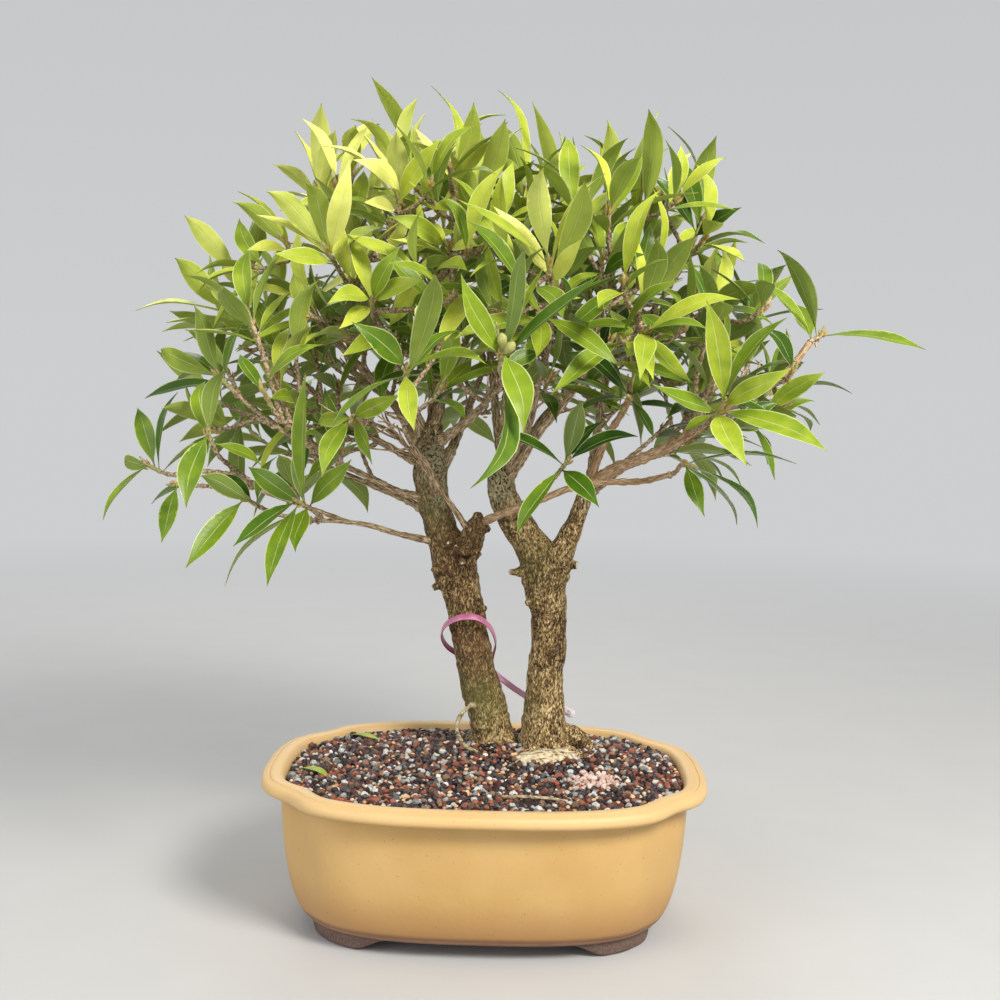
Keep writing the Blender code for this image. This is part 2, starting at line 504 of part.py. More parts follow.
def tube(points, radii, sides, draw=None):
    """A closed tube along points; its frame is carried from one point to the next without a twist."""
    rows = []
    along = (points[1] - points[0]).normalized()
    side = along.cross(UP if abs(along.z) < 0.8 else Vector((1, 0, 0))).normalized()
    for i, point in enumerate(points):
        ahead = points[min(i + 1, len(points) - 1)]
        behind = points[max(i - 1, 0)]
        along = (ahead - behind).normalized()
        side = (side - along * side.dot(along)).normalized()
        other = along.cross(side)
        for k in range(sides):
            turn = 2 * math.pi * k / sides
            radius = radii[i] * (1 + (draw.uniform(-KNOT_NOISE, KNOT_NOISE) if draw else 0.0))
            rows.append(point + radius * (math.cos(turn) * side + math.sin(turn) * other))
    faces = []
    for i in range(len(points) - 1):
        faces += ring_faces(i * sides, (i + 1) * sides, sides)
    faces.append(tuple(reversed(range(sides))))
    faces.append(tuple(range((len(points) - 1) * sides, len(points) * sides)))
    return rows, faces


def bezier(p0, p1, p2, p3, share):
    rest = 1 - share
    return rest ** 3 * p0 + 3 * rest * rest * share * p1 + 3 * rest * share * share * p2 + share ** 3 * p3


def wood_tubes(grow, material, names=None):
    """The trunks' and branches' tubes, each grow thicker."""
    draw = random.Random(5)
    items = []
    for table, sides in ((TRUNKS, TRUNK_SIDES), (BRANCHES, BRANCH_SIDES)):
        for name, rows in table.items():
            points = [Vector(row[:3]) for row in rows]
            radii = [row[3] + grow for row in rows]
            if grow:
                points[0] -= (points[1] - points[0]).normalized() * grow
                points[-1] += (points[-1] - points[-2]).normalized() * grow
            verts, faces = tube(points, radii, sides, draw if sides == TRUNK_SIDES else None)
            if names is None or name in names:
                items.append(make_object(name + "_tube", verts, faces, material))
    return items


def build_wood(material):
    first, *rest = wood_tubes(0.0, material)
    wood = boolean(first, rest, "UNION")
    wood.name = "wood"
    wood.data.name = "wood"
    return wood


def build_strap(material):
    """A flat strip, its broad side facing the trunk that it goes round."""
    path = [Vector(p) for p in STRAP_PATH]
    points = []
    for i, point in enumerate(path):
        along = (path[min(i + 1, len(path) - 1)] - path[max(i - 1, 0)]).normalized()
        out = point - Vector(STRAP_LOOP_CENTRE) if i < STRAP_LOOP_POINTS else UP.cross(along)
        out = (out - along * out.dot(along)).normalized()
        across = along.cross(out)
        for a, b in ((-0.5, -0.5), (0.5, -0.5), (0.5, 0.5), (-0.5, 0.5)):
            points.append(point + across * STRAP_WIDTH * a + out * STRAP_THICKNESS * b)
    faces = []
    for i in range(len(path) - 1):
        faces += ring_faces(i * 4, i * 4 + 4, 4)
    last = (len(path) - 1) * 4
    faces += [(3, 2, 1, 0), (last, last + 1, last + 2, last + 3)]
    return outward(make_object("tag_strap", points, faces, material))


# Leafy shoots


Place = namedtuple("Place", "point ahead radius shoot")
Shoot = namedtuple("Shoot", "name points radii place leaves")


class Neighbours:
    """The pieces already placed, to keep new ones clear of them."""

    def __init__(self):
        self.placed = []

    def add_object(self, item):
        self.add([v.co / MM for v in item.data.vertices], [tuple(p.vertices) for p in item.data.polygons])

    def add(self, points, faces):
        self.placed.append((box_of(points), BVHTree.FromPolygons(points, faces)))

    def clear(self, points, faces):
        low, high = box_of(points)
        tree = None
        for (other_low, other_high), other in self.placed:
            if all(low[k] < other_high[k] and high[k] > other_low[k] for k in range(3)):
                tree = tree or BVHTree.FromPolygons(points, faces)
                if tree.overlap(other):
                    return False
        return True


def box_of(points):
    return ([min(p[k] for p in points) for k in range(3)], [max(p[k] for p in points) for k in range(3)])


def leaf_normal(direction, axis, shown, width):
    """The upper side's direction: towards the shoot's axis, turned to show the width in front."""
    natural = axis + 0.5 * UP
    natural = (natural - direction * natural.dot(direction)).normalized()
    if shown is None:
        return natural
    facing = FRONT - direction * FRONT.dot(direction)
    span = facing.length
    facing.normalize()
    across = direction.cross(facing)
    cosine = min(1.0, shown / max(width * max(span, 0.3), 0.1))
    sine = math.sqrt(1 - cosine * cosine)
    choices = [facing * c + across * s for c in (cosine, -cosine) for s in (sine, -sine)]
    return max(choices, key=lambda n: n.dot(natural))


def leaf(base, tip, normal, width, grow=0.0, start=0.0):
    """A closed leaf: a flat upper side and a keel under it, arched towards its upper side."""
    direction = tip - base
    length = direction.length
    crown = base + direction * 0.5 + normal * length * LEAF_ARCH * 2
    across = direction.normalized().cross(normal).normalized()
    points = []
    for reach, share in LEAF_SECTIONS:
        reach = max(reach, start)
        middle = (1 - reach) ** 2 * base + 2 * reach * (1 - reach) * crown + reach * reach * tip
        half = (PETIOLE_WIDTH + (width - PETIOLE_WIDTH) * share) / 2 + grow
        keel = LEAF_THICKNESS + (PETIOLE_WIDTH - LEAF_THICKNESS) * (1 - share) * (reach < 0.2)
        points.append(middle + across * half + normal * grow)
        points.append(middle - normal * (keel + grow))
        points.append(middle - across * half + normal * grow)
    points.append(tip + direction.normalized() * grow)
    faces = []
    for i in range(len(LEAF_SECTIONS) - 1):
        faces += ring_faces(3 * i, 3 * i + 3, 3)
    end = len(points) - 1
    faces += [(2, 1, 0), (end - 3, end - 2, end), (end - 2, end - 1, end), (end - 1, end - 3, end)]
    return points, faces


def nudged(vector, amount, draw):
    """The vector turned by up to amount radians."""
    push = Vector((draw.uniform(-1, 1), draw.uniform(-1, 1), draw.uniform(-1, 1))) * vector.length * amount
    return (vector + push).normalized() * vector.length


def places_along(points, radii, shoot=None):
    """Places from which a stem can leave a branch or the named shoot's stem."""
    places = []
    for first, last, thick, thin in zip(points, points[1:], radii, radii[1:]):
        ahead = (last - first).normalized()
        count = max(1, round((last - first).length / PLACE_STEP))
        places += [Place(first.lerp(last, i / count), ahead, thick + (thin - thick) * i / count, shoot)
                   for i in range(count)]
    return places


def branch_places(branch):
    """A branch's places; the last is its end, which has no radius."""
    rows = BRANCHES[branch][1:]
    points = [Vector(row[:3]) for row in rows]
    places = places_along(points, [row[3] for row in rows])
    places.append(Place(points[-1], (points[-1] - points[-2]).normalized(), None, None))
    return places


def best_places(places, tip, used):
    """The free places, the one that leads best to the tip first."""
    def cost(place):
        away = tip - place.point
        return away.length * (1.7 - away.normalized().dot(place.ahead))

    def is_free(place):
        return all((place.point - other).length > PLACE_ROOM for other in used)
    return sorted(filter(is_free, places), key=cost)[:PLACE_CHOICES]


def stem_route(place, tip, axis, bend):
    """Points of a stem to its bud, from just off its branch or from inside the stem that it forks from.

    The second point keeps the start square to what it leaves.
    """
    away = tip - place.point
    if place.radius is None:
        start, outwards = place.point + place.ahead * GAP, place.ahead
    else:
        outwards = (away - place.ahead * away.dot(place.ahead)).normalized()
        start = place.point + outwards * (place.radius + GAP)
    reach = (tip - start).length
    first = start + outwards * reach * 0.2 + place.ahead * reach * 0.15 + bend
    second = tip - axis * reach * 0.35
    steps = 3
    points = [bezier(start, first, second, tip, i / steps) for i in range(steps + 1)]
    points.insert(1, start + outwards * min(1.5, reach * 0.1))
    if place.shoot is not None:
        points[0] = place.point.copy()
    points.append(tip + axis * BUD_LENGTH)
    thick = STEM_TIP_RADIUS + (STEM_RADIUS - STEM_TIP_RADIUS) * min(1.0, reach / 60)
    count = len(points)
    radii = [thick + (STEM_TIP_RADIUS - thick) * i / (count - 2) for i in range(count - 1)] + [0.25]
    return points, radii


def place_stem(places, tip, axis, used, neighbours, tries, draw):
    """The first place and bend that keep a stem clear of all that is placed."""
    for attempt in range(tries):
        for place in best_places(places, tip, used):
            size = attempt * 1.2
            bend = Vector((draw.uniform(-size, size), draw.uniform(-size, size), draw.uniform(-size, size)))
            points, radii = stem_route(place, tip, axis, bend)
            free = neighbours.clear(*tube(points[1:], [r + 0.3 for r in radii[1:]], STEM_SIDES))
            if free and place.shoot is None:
                free = neighbours.clear(*tube(points, [r + 0.05 for r in radii], STEM_SIDES))
            if free:
                return points, radii, place
    return None


def down_stem(points, distance):
    """The place on the stem at a distance below its tip; the last point is the bud's."""
    for upper, lower in zip(points[-2:0:-1], points[-3::-1]):
        length = (upper - lower).length
        if distance <= length:
            return upper.lerp(lower, distance / length)
        distance -= length
    return points[1]


def place_leaf(stem, first, way, axis, shown, neighbours, own, tries, draw):
    """Base, tip, normal and width of a leaf clear of the other pieces; None if it finds no room.

    It starts about first below the stem's tip, and its own tip keeps its place where it can.
    """
    for attempt in range(tries):
        base = down_stem(stem, first + LEAF_SHIFT * (attempt % LEAF_SHIFTS))
        reach = nudged(stem[-2] + way - base, 0.035 * (attempt // LEAF_SHIFTS), draw)
        width = LEAF_WIDTH * min(1.15, math.sqrt(reach.length / LEAF_LENGTH))
        width = max(width, shown or 0.0)
        normal = leaf_normal(reach.normalized(), axis, shown, width)
        wide, faces = leaf(base, base + reach, normal, width, CLEARANCE / 2, STALK_START)
        if neighbours.clear(wide, faces) and own.clear(wide, faces):
            own.add(wide, faces)
            return base, base + reach, normal, width
    return None


def spiral_leaves(axis, count, draw):
    """Leaf directions by the golden turn, the youngest near the axis."""
    side = axis.cross(UP if abs(axis.z) < 0.9 else Vector((0, 1, 0))).normalized()
    other = axis.cross(side)
    start = draw.uniform(0, 2 * math.pi)
    ways = []
    for i in range(count):
        turn = start + i * GOLDEN_TURN
        open_angle = math.radians(30 + 50 * i / max(count - 1, 1))
        way = (axis * math.cos(open_angle)
               + (side * math.cos(turn) + other * math.sin(turn)) * math.sin(open_angle))
        way.z -= 0.15 * i / count
        ways.append(way.normalized() * LEAF_LENGTH * draw.uniform(0.75, 1.1))
    return ways


def shoot_axis(ways, places, tip):
    """A shoot points where most of its leaves do, and away from its branch."""
    start = best_places(places, tip, [])[0].point
    total = (tip - start).normalized() * 1.2 + UP * 0.4
    for way in ways:
        total += way.normalized() * 0.6
    return total.normalized()


def grow_shoot(name, places, tip, axis, ways, shown, neighbours, used, tries, draw):
    """A shoot with the leaves that find room; None where its stem finds no way."""
    route = place_stem(places, tip, axis, used, neighbours, tries, draw)
    if route is None:
        return None
    points, radii, place = route
    own = Neighbours()
    own.add(*tube(points, radii, STEM_SIDES))
    leaves = []
    for i, way in enumerate(ways):
        placed = place_leaf(points, 1.0 + i * LEAF_SPACING, way, axis, shown[i], neighbours, own, tries, draw)
        if placed:
            leaves.append(placed)
    return Shoot(name, points, radii, place, leaves)


def settle(shoot, used, neighbours):
    """Adds a grown shoot to what later ones keep clear of."""
    used.append(shoot.place.point)
    neighbours.add(*tube(shoot.points, [r + 0.1 for r in shoot.radii], STEM_SIDES))
    for placed in shoot.leaves:
        neighbours.add(*leaf(*placed))


def grow_named_shoots(neighbours):
    """The shoots of the two tables, and the places that their stems use."""
    plans = []
    for seed, (name, (branch, tip, rows)) in enumerate(SHOOTS.items()):
        ways = [Vector(row[:3]) for row in rows]
        plans.append((name, branch, Vector(tip), ways, [row[3] for row in rows], seed))
    for seed, (name, (branch, tip, count)) in enumerate(BACK_SHOOTS.items(), start=100):
        axis = shoot_axis([], branch_places(branch), Vector(tip))
        ways = spiral_leaves(axis, count, random.Random(seed + 500))
        plans.append((name, branch, Vector(tip), ways, [None] * count, seed))
    shoots, used = [], []
    for name, branch, tip, ways, shown, seed in plans:
        places = branch_places(branch)
        axis = shoot_axis(ways, places, tip)
        shoot = grow_shoot(name, places, tip, axis, ways, shown, neighbours, used, TRIES, random.Random(seed))
        settle(shoot, used, neighbours)
        shoots.append(shoot)
    return shoots, used


def roomiest_tip(tips, draw):
    """The place near the crown's outside that is furthest from the other tips, out of some drawn ones."""
    drawn = []
    while len(drawn) < TIP_CHOICES:
        way = Vector((draw.gauss(0, 1), draw.gauss(0, 1), draw.gauss(0, 1))).normalized()
        reach = draw.uniform(CROWN_INNER, 1)
        if way.z > CROWN_LOWEST:
            drawn.append(Vector([m + w * h * reach for m, w, h in zip(CROWN_MIDDLE, way, CROWN_HALF)]))
    return max(drawn, key=lambda tip: min((tip - other).length for other in tips))


def grow_side_shoots(shoots, used, neighbours):
    """Further shoots in the crown's gaps, each forked from an earlier one's stem, inside the crown's box."""
    draw = random.Random(SIDE_SEED)
    low, high = box_of([tip for shoot in shoots for base, tip, normal, width in shoot.leaves])
    places = []
    for shoot in shoots:
        places += places_along(shoot.points[1:-1], shoot.radii[1:-1], shoot.name)
    tips = [shoot.points[-2] for shoot in shoots]
    sides = []
    for attempt in range(SIDE_SHOOTS * 8):
        tip = roomiest_tip(tips, draw)
        tips.append(tip)
        near = [place for place in places if SIDE_NEAR < (tip - place.point).length < SIDE_FAR]
        if not near:
            continue
        axis = shoot_axis([tip - Vector(CROWN_MIDDLE)], near, tip)
        ways = [way for way in spiral_leaves(axis, SIDE_LEAVES, draw)
                if all(low[k] < tip[k] + way[k] < high[k] for k in range(3))]
        shown = [None] * len(ways)
        shoot = grow_shoot(None, near, tip, axis, ways, shown, neighbours, used, SIDE_TRIES, draw)
        if shoot and len(shoot.leaves) > SIDE_LEAVES / 2:
            settle(shoot, used, neighbours)
            sides.append(shoot)
        if len(sides) == SIDE_SHOOTS:
            break
    return sides


def shoot_objects(name, shoot, material):
    items = [make_object(name, *tube(shoot.points, shoot.radii, STEM_SIDES), material)]
    items += [make_object("leaf", *leaf(*placed), material) for placed in shoot.leaves]
    return [outward(item) for item in items]


def build_sprays(neighbours, materials):
    """One node for each shoot of the tables, with the side shoots that fork from it."""
    shoots, used = grow_named_shoots(neighbours)
    sides = grow_side_shoots(shoots, used, neighbours)
    print("leaves", sum(len(shoot.leaves) for shoot in shoots + sides), "side shoots", len(sides))
    for number, shoot in enumerate(shoots):
        material = materials[number % len(materials)]
        items = shoot_objects("spray_" + shoot.name, shoot, material)
        for side in sides:
            if side.place.shoot == shoot.name:
                items += shoot_objects("fork", side, material)
        boolean(items[0], items[1:], "UNION")


# Loose pieces on the soil


def lowered(points, faces, ground):
    """The points moved down to a gap above the ground."""
    drop = 0.0
    while ground.clear([p - UP * (drop + LOWER_STEP) for p in points], faces):
        drop += LOWER_STEP
    return [p - UP * (drop - GAP) for p in points]


def build_lying_leaf(name, x, y, heading, ground, material):
    way = Vector((math.cos(heading), math.sin(heading), 0)) * LYING_LEAF_LENGTH
    base = Vector((x, y, soil_height(x, y) + LYING_LIFT))
    points, faces = leaf(base, base + way, UP, LYING_LEAF_WIDTH)
    return outward(make_object(name, lowered(points, faces, ground), faces, material))


def build_lying_twig(ground, material):
    height = max(soil_height(x, y) for x, y, bow, radius in LYING_TWIG) + LYING_LIFT
    path = [Vector((x, y, height + bow)) for x, y, bow, radius in LYING_TWIG]
    points, faces = tube(path, [row[3] for row in LYING_TWIG], BRANCH_SIDES)
    return outward(make_object("fallen_twig", lowered(points, faces, ground), faces, material))


def move_to_box_bottom():
    """Puts the origin in the middle of the bottom of the whole object's box."""
    items = [item for item in bpy.context.scene.objects if item.type == "MESH"]
    corners = [item.matrix_world @ v.co for item in items for v in item.data.vertices]
    low = Vector([min(c[k] for c in corners) for k in range(3)])
    high = Vector([max(c[k] for c in corners) for k in range(3)])
    shift = Vector((-(low.x + high.x) / 2, -(low.y + high.y) / 2, -low.z))
    for item in items:
        item.data.transform(Matrix.Translation(shift))
    print("box", [round(v, 4) for v in high - low], "shift", [round(v, 4) for v in shift])


def main():
    clear_scene()
    glaze = plain_material("glazed_clay", (0.72, 0.47, 0.18), 0.55)
    mesh_plastic = plain_material("screen_plastic", (0.03, 0.03, 0.03), 0.6)
    grit = plain_material("grit", (0.12, 0.06, 0.045), 0.95)
    bark = plain_material("bark", (0.17, 0.12, 0.06), 0.9)
    strap = plain_material("strap_plastic", (0.6, 0.16, 0.36), 0.35)
    deep = plain_material("leaf_deep", (0.06, 0.17, 0.02), 0.4)
    middle = plain_material("leaf_mid", (0.14, 0.28, 0.03), 0.4)
    young = plain_material("leaf_young", (0.32, 0.42, 0.05), 0.4)
    build_pot(glaze)
    build_screen("drain_screen_left", -DRAIN_X, mesh_plastic)
    build_screen("drain_screen_right", DRAIN_X, mesh_plastic)
    wood = build_wood(bark)
    neighbours = Neighbours()
    neighbours.add_object(wood)
    neighbours.add_object(build_strap(strap))
    build_sprays(neighbours, [deep, middle, young])
    ground = Neighbours()
    ground.add_object(build_soil(grit, wood_tubes(SOCKET_GAP, grit, BURIED)))
    for name, (x, y, heading) in LYING_LEAVES.items():
        build_lying_leaf(name, x, y, heading, ground, middle)
    build_lying_twig(ground, bark)
    move_to_box_bottom()


main()
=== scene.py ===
import math
import random
from collections import namedtuple

import bmesh
import bpy
import numpy as np
from mathutils import Matrix, Vector, noise
from mathutils.bvhtree import BVHTree


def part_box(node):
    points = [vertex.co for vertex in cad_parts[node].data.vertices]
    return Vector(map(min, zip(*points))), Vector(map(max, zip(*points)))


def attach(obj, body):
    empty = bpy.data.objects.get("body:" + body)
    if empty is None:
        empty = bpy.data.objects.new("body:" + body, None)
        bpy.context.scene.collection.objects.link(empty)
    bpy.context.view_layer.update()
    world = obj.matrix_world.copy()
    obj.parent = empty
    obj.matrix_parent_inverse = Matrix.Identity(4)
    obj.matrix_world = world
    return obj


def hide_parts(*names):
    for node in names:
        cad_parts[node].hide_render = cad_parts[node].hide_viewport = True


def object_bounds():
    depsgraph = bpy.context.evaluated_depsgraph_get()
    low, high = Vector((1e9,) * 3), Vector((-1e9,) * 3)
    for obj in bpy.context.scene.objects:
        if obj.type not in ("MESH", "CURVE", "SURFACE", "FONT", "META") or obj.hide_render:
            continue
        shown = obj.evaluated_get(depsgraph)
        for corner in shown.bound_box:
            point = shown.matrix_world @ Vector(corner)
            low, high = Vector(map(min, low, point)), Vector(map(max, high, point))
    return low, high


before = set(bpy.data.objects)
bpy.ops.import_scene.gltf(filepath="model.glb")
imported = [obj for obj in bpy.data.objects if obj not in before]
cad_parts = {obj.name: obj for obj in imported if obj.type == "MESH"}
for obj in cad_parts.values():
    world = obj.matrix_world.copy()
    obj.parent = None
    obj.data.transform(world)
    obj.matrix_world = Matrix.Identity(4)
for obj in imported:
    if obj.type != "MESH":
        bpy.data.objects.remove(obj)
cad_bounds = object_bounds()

MM = 0.001
UP = Vector((0.0, 0.0, 1.0))
# The way to the camera from the crown, and the gap between pieces that rest on each other
FRONT = Vector((0.02, -0.96, 0.28))
GAP = 0.35
BOX_MARGIN = 0.1
# A full turn, for random headings and for the veins
FULL_TURN = 6.28

# Pot
POT_HALF_LENGTH = 127.0
POT_HALF_WIDTH = 99.0
POT_ROUNDNESS = 2.74
QUARTER_STEPS = (0, 10, 19, 25.5, 29, 31.7, 34.5, 38.5, 46, 57, 69, 80)
POT_POINTS = 4 * len(QUARTER_STEPS)
NOTCH_ANGLE = 0.553
NOTCH_DEPTH = 4.9
NOTCH_WIDTH = 0.125
FLOOR_HEIGHT = 15.0
# Feet: top inside the clay, inset of the outer side, width, open lengths of the front and side between the
# feet, and the length and rise of a foot's ogee ends
FOOT_TOP = 10.5
FOOT_OUTER_INSET = 29.0
FOOT_WIDTH = 15.0
FOOT_FRONT_GAP = 46.0
FOOT_SIDE_GAP = 29.0
FOOT_OGEE = 11.0
FOOT_RISE = 8.0
DRAIN_X = 46.0
DRAIN_RADIUS = 9.0
SCREEN_SIZE = 30.0
SCREEN_THICKNESS = 0.9
SCREEN_BARS = 12
BAR_SIDES = 8

# Soil
SOIL_RIM = 83.8
MOUND_HEIGHT = 9.0
MOUND_CENTRE = (20.0, 24.0)
MOUND_SPREAD = (62.0, 42.0)
SOIL_TOP_INSET = 14.8

# Wood: middle line points with their radius
TRUNK_SIDES = 10
BRANCH_SIDES = 5
TRUNKS = {
    "left_trunk": [
        (8, 35, 70, 13), (6, 34, 85, 13.4), (3, 34, 98, 12.6), (-1, 33, 114, 12.1), (-7, 31, 135, 11.4),
        (-11, 30, 154, 11.2), (-14, 29, 171, 11.1), (-17, 28, 184, 11.3), (-21, 27, 197, 13.1),
        (-24, 26, 208, 12.0), (-29, 25, 220, 9.6), (-33, 24, 233, 9.2), (-36, 23, 251, 9.7),
        (-37, 22, 268, 8.8), (-36, 22, 284, 6.4)],
    "right_trunk": [
        (35, 28, 70, 15), (35, 27, 86, 15.4), (34, 27, 96, 14.4), (34, 27, 106, 13.1), (34, 26, 120, 11.8),
        (34, 25, 138, 10.5), (36, 24, 157, 10.5), (35, 23, 172, 10.4), (33, 22, 186, 11.9),
        (32, 21, 196, 13.6), (28, 20, 207, 11.8), (20, 18, 219, 9.6), (12, 16, 232, 9.5), (7, 14, 243, 8.4),
        (5, 13, 253, 7.6), (6, 13, 264, 5.2)],
}
BRANCHES = {
    "root_bridge": [(6, 34, 77, 9), (20, 31, 75, 9), (35, 28, 77, 9)],
    "root_front": [(36, 26, 95, 7), (27, 15, 90, 6.5), (16, 8, 86, 4.5), (8, 3, 82, 2.5)],
    "root_right": [(38, 22, 95, 8), (46, 15, 91, 6.5), (55, 13, 88, 4.5), (64, 13, 82, 2.5)],
    "root_back": [(0, 38, 92, 7), (-9, 46, 88, 5.5), (-20, 53, 81, 3)],
    "root_lump": [(42, 28, 100, 8), (53, 28, 97, 6), (62, 29, 90, 4)],
    "aerial_root": [(-6, 25, 118, 1.8), (-14, 20, 113, 1.9), (-18, 16, 105, 2), (-14, 12, 96, 2),
                    (-5, 12, 90, 2), (2, 14, 84, 2)],
    "knuckle": [(-21, 24, 206, 8.5), (-13, 20, 213, 7.8), (-9, 17, 222, 6), (-6, 15, 229, 4.6)],
    "left_nub": [(-20, 26, 191, 6), (-30, 24, 188, 3.6), (-34, 23, 186, 2.6)],
    "right_nub": [(40, 20, 201, 7), (47, 17, 203, 4), (51, 15, 203, 2.8)],
    "fork_nub": [(28, 18, 200, 6), (15, 17, 198, 3.4), (11, 16, 198, 2.6)],
    "tag_nub": [(-14, 26, 168, 5), (-17, 17, 168, 2.6), (-18, 13.5, 168.5, 2.2)],
    "right_limb": [(34, 21, 190, 10.7), (39, 20, 204, 8.8), (45, 19, 217, 6.5), (50, 18, 231, 5.3),
                   (54, 16, 243, 4.7), (58, 14, 254, 4.6)],
    "right_long": [(56, 15, 250, 4.1), (69, 6, 260, 4), (84, -6, 267, 4), (100, -18, 276, 3.6),
                   (115, -30, 288, 3.3), (132, -38, 301, 2.7), (150, -36, 310, 2.5), (161, -32, 319, 2.4),
                   (172, -30, 334, 2.1)],
    "cross": [(-7, 16, 226, 3.4), (8, 3, 234, 2.6), (25, -4, 241, 2.6), (45, -8, 250, 2.5),
              (62, -13, 254, 2.4), (83, -26, 256, 2.2), (97, -42, 261, 1.8)],
    "right_rise": [(57, 15, 250, 3.6), (59, 15, 271, 2.9), (62, 16, 291, 2.6), (65, 16, 311, 2.3),
                   (70, 14, 340, 2), (66, 8, 366, 1.7)],
    "right_front": [(57, 13, 253, 3.4), (65, 2, 278, 2.6), (75, -14, 298, 2.2), (78, -30, 317, 1.9),
                    (78, -46, 332, 1.6)],
    "centre_rise": [(5, 13, 253, 4), (6, 14, 275, 2.9), (7, 15, 299, 2.6), (10, 16, 333, 2.3),
                    (15, 15, 367, 2), (22, 12, 388, 1.7)],
    "centre_lean": [(7, 12, 254, 4), (20, 2, 282, 2.9), (25, -10, 305, 2.5), (30, -26, 328, 2.2),
                    (32, -44, 342, 1.8)],
    "centre_slant": [(8, 12, 250, 4), (27, -4, 281, 2.8), (42, -22, 301, 2.5), (52, -32, 320, 2.1),
                     (56, -40, 342, 1.7)],
    "left_thick": [(-36, 22, 270, 6), (-28, 18, 276, 5.3), (-17, 12, 284, 4.1), (-6, 0, 295, 3),
                   (1, -26, 303, 2.2), (5, -58, 306, 1.8), (7, -88, 310, 1.5)],
    "left_rise": [(-36, 22, 276, 5.5), (-30, 22, 301, 4.1), (-28, 20, 327, 3.2), (-28, 14, 355, 2.6),
                  (-25, 2, 378, 2.1)],
    "left_back_rise": [(-37, 22, 270, 5.5), (-36, 32, 297, 3.6), (-40, 38, 327, 3), (-46, 38, 357, 2.4),
                       (-50, 30, 386, 2)],
    "left_fan": [(-38, 23, 270, 5), (-52, 14, 306, 3.2), (-63, 0, 334, 2.6), (-73, -14, 356, 2.2)],
    "left_low": [(-28, 25, 213, 4), (-53, 14, 219, 2.4), (-69, 2, 225, 2.1), (-84, -16, 229, 1.9),
                 (-98, -34, 231, 1.7)],
    "far_low": [(-80, -11, 228, 1.7), (-104, -16, 237, 1.6), (-128, -22, 246, 1.5), (-142, -26, 254, 1.3)],
    "left_second": [(-37, 22, 240, 4.2), (-53, 12, 244, 2.9), (-68, 2, 252, 2.6), (-87, -10, 262, 2.2),
                    (-103, -22, 272, 1.9)],
    "left_upper": [(-40, 22, 259, 4.6), (-56, 22, 267, 2.9), (-72, 20, 276, 2.7), (-92, 14, 290, 2.5),
                   (-112, 8, 308, 2.2), (-128, 4, 322, 1.9)],
    "left_high": [(-40, 22, 268, 4.6), (-61, 28, 297, 3), (-83, 26, 320, 2.7), (-100, 16, 340, 2.3),
                  (-108, 4, 356, 1.9)],
    "left_front": [(-32, 20, 239, 5), (-36, 0, 259, 2.9), (-43, -24, 272, 2.5), (-46, -50, 284, 2),
                   (-43, -76, 294, 1.6)],
    "left_twig": [(-12, 19, 220, 3), (-27, 7, 243, 1.9), (-46, 0, 268, 1.8), (-58, -18, 281, 1.6),
                  (-68, -42, 286, 1.4)],
    "back_left": [(-37, 26, 262, 5), (-50, 48, 284, 3.2), (-70, 66, 300, 2.7), (-94, 80, 316, 2.2)],
    "back_left_low": [(-29, 30, 222, 4.5), (-48, 48, 234, 3), (-76, 62, 244, 2.4), (-106, 74, 254, 1.9)],
    "back_mid": [(-33, 26, 250, 5), (-22, 50, 276, 3.4), (-14, 76, 300, 2.7), (-8, 98, 318, 2)],
    "back_right": [(7, 15, 246, 4.6), (20, 40, 274, 3.2), (40, 64, 300, 2.6), (56, 84, 320, 2)],
    "back_right_low": [(55, 17, 243, 4), (76, 36, 258, 3), (104, 54, 272, 2.4), (130, 66, 284, 1.9)],
    "back_top": [(6, 14, 260, 4), (0, 36, 300, 2.9), (-4, 56, 336, 2.4), (0, 66, 366, 1.9)],
}
BURIED = ("left_trunk", "right_trunk", "root_bridge", "root_front", "root_right", "root_back", "root_lump",
          "aerial_root")
KNOT_NOISE = 0.06
KNOT_SEED = 5

# Tag strap: middle line of the strip, the number of its points in the loop round the trunk, the loop's middle
STRAP_PATH = [
    (-2, 47.5, 139), (-14, 49, 140), (-25, 42.5, 147), (-28.5, 30, 157), (-25, 17, 166), (-16, 10.6, 171.5),
    (-6, 11.2, 171), (1.2, 20, 163.5), (4, 33, 152.5), (2.5, 44, 143), (0.5, 48.5, 134.5), (8, 50, 126.5),
    (24, 47, 116.5), (36, 46, 112.5), (45, 40, 111), (52, 31, 110),
]
STRAP_LOOP_POINTS = 11
STRAP_LOOP_CENTRE = (-12.0, 30.0, 155.0)
STRAP_WIDTH = 3.8
STRAP_THICKNESS = 0.9

# Leaves: reach along the leaf, share of the widest place
LEAF_SECTIONS = [(0.0, 0.0), (0.34, 0.94), (0.68, 0.84)]
LEAF_WIDTH = 13.0
LEAF_LENGTH = 46.0
LEAF_THICKNESS = 0.9
PETIOLE_WIDTH = 0.7
LEAF_ARCH = 0.07
LEAF_SPACING = 2.3
STEM_SIDES = 4
STEM_RADIUS = 1.6
STEM_TIP_RADIUS = 1.15
BUD_LENGTH = 6.0
CLEARANCE = 0.7
STALK_START = 0.10

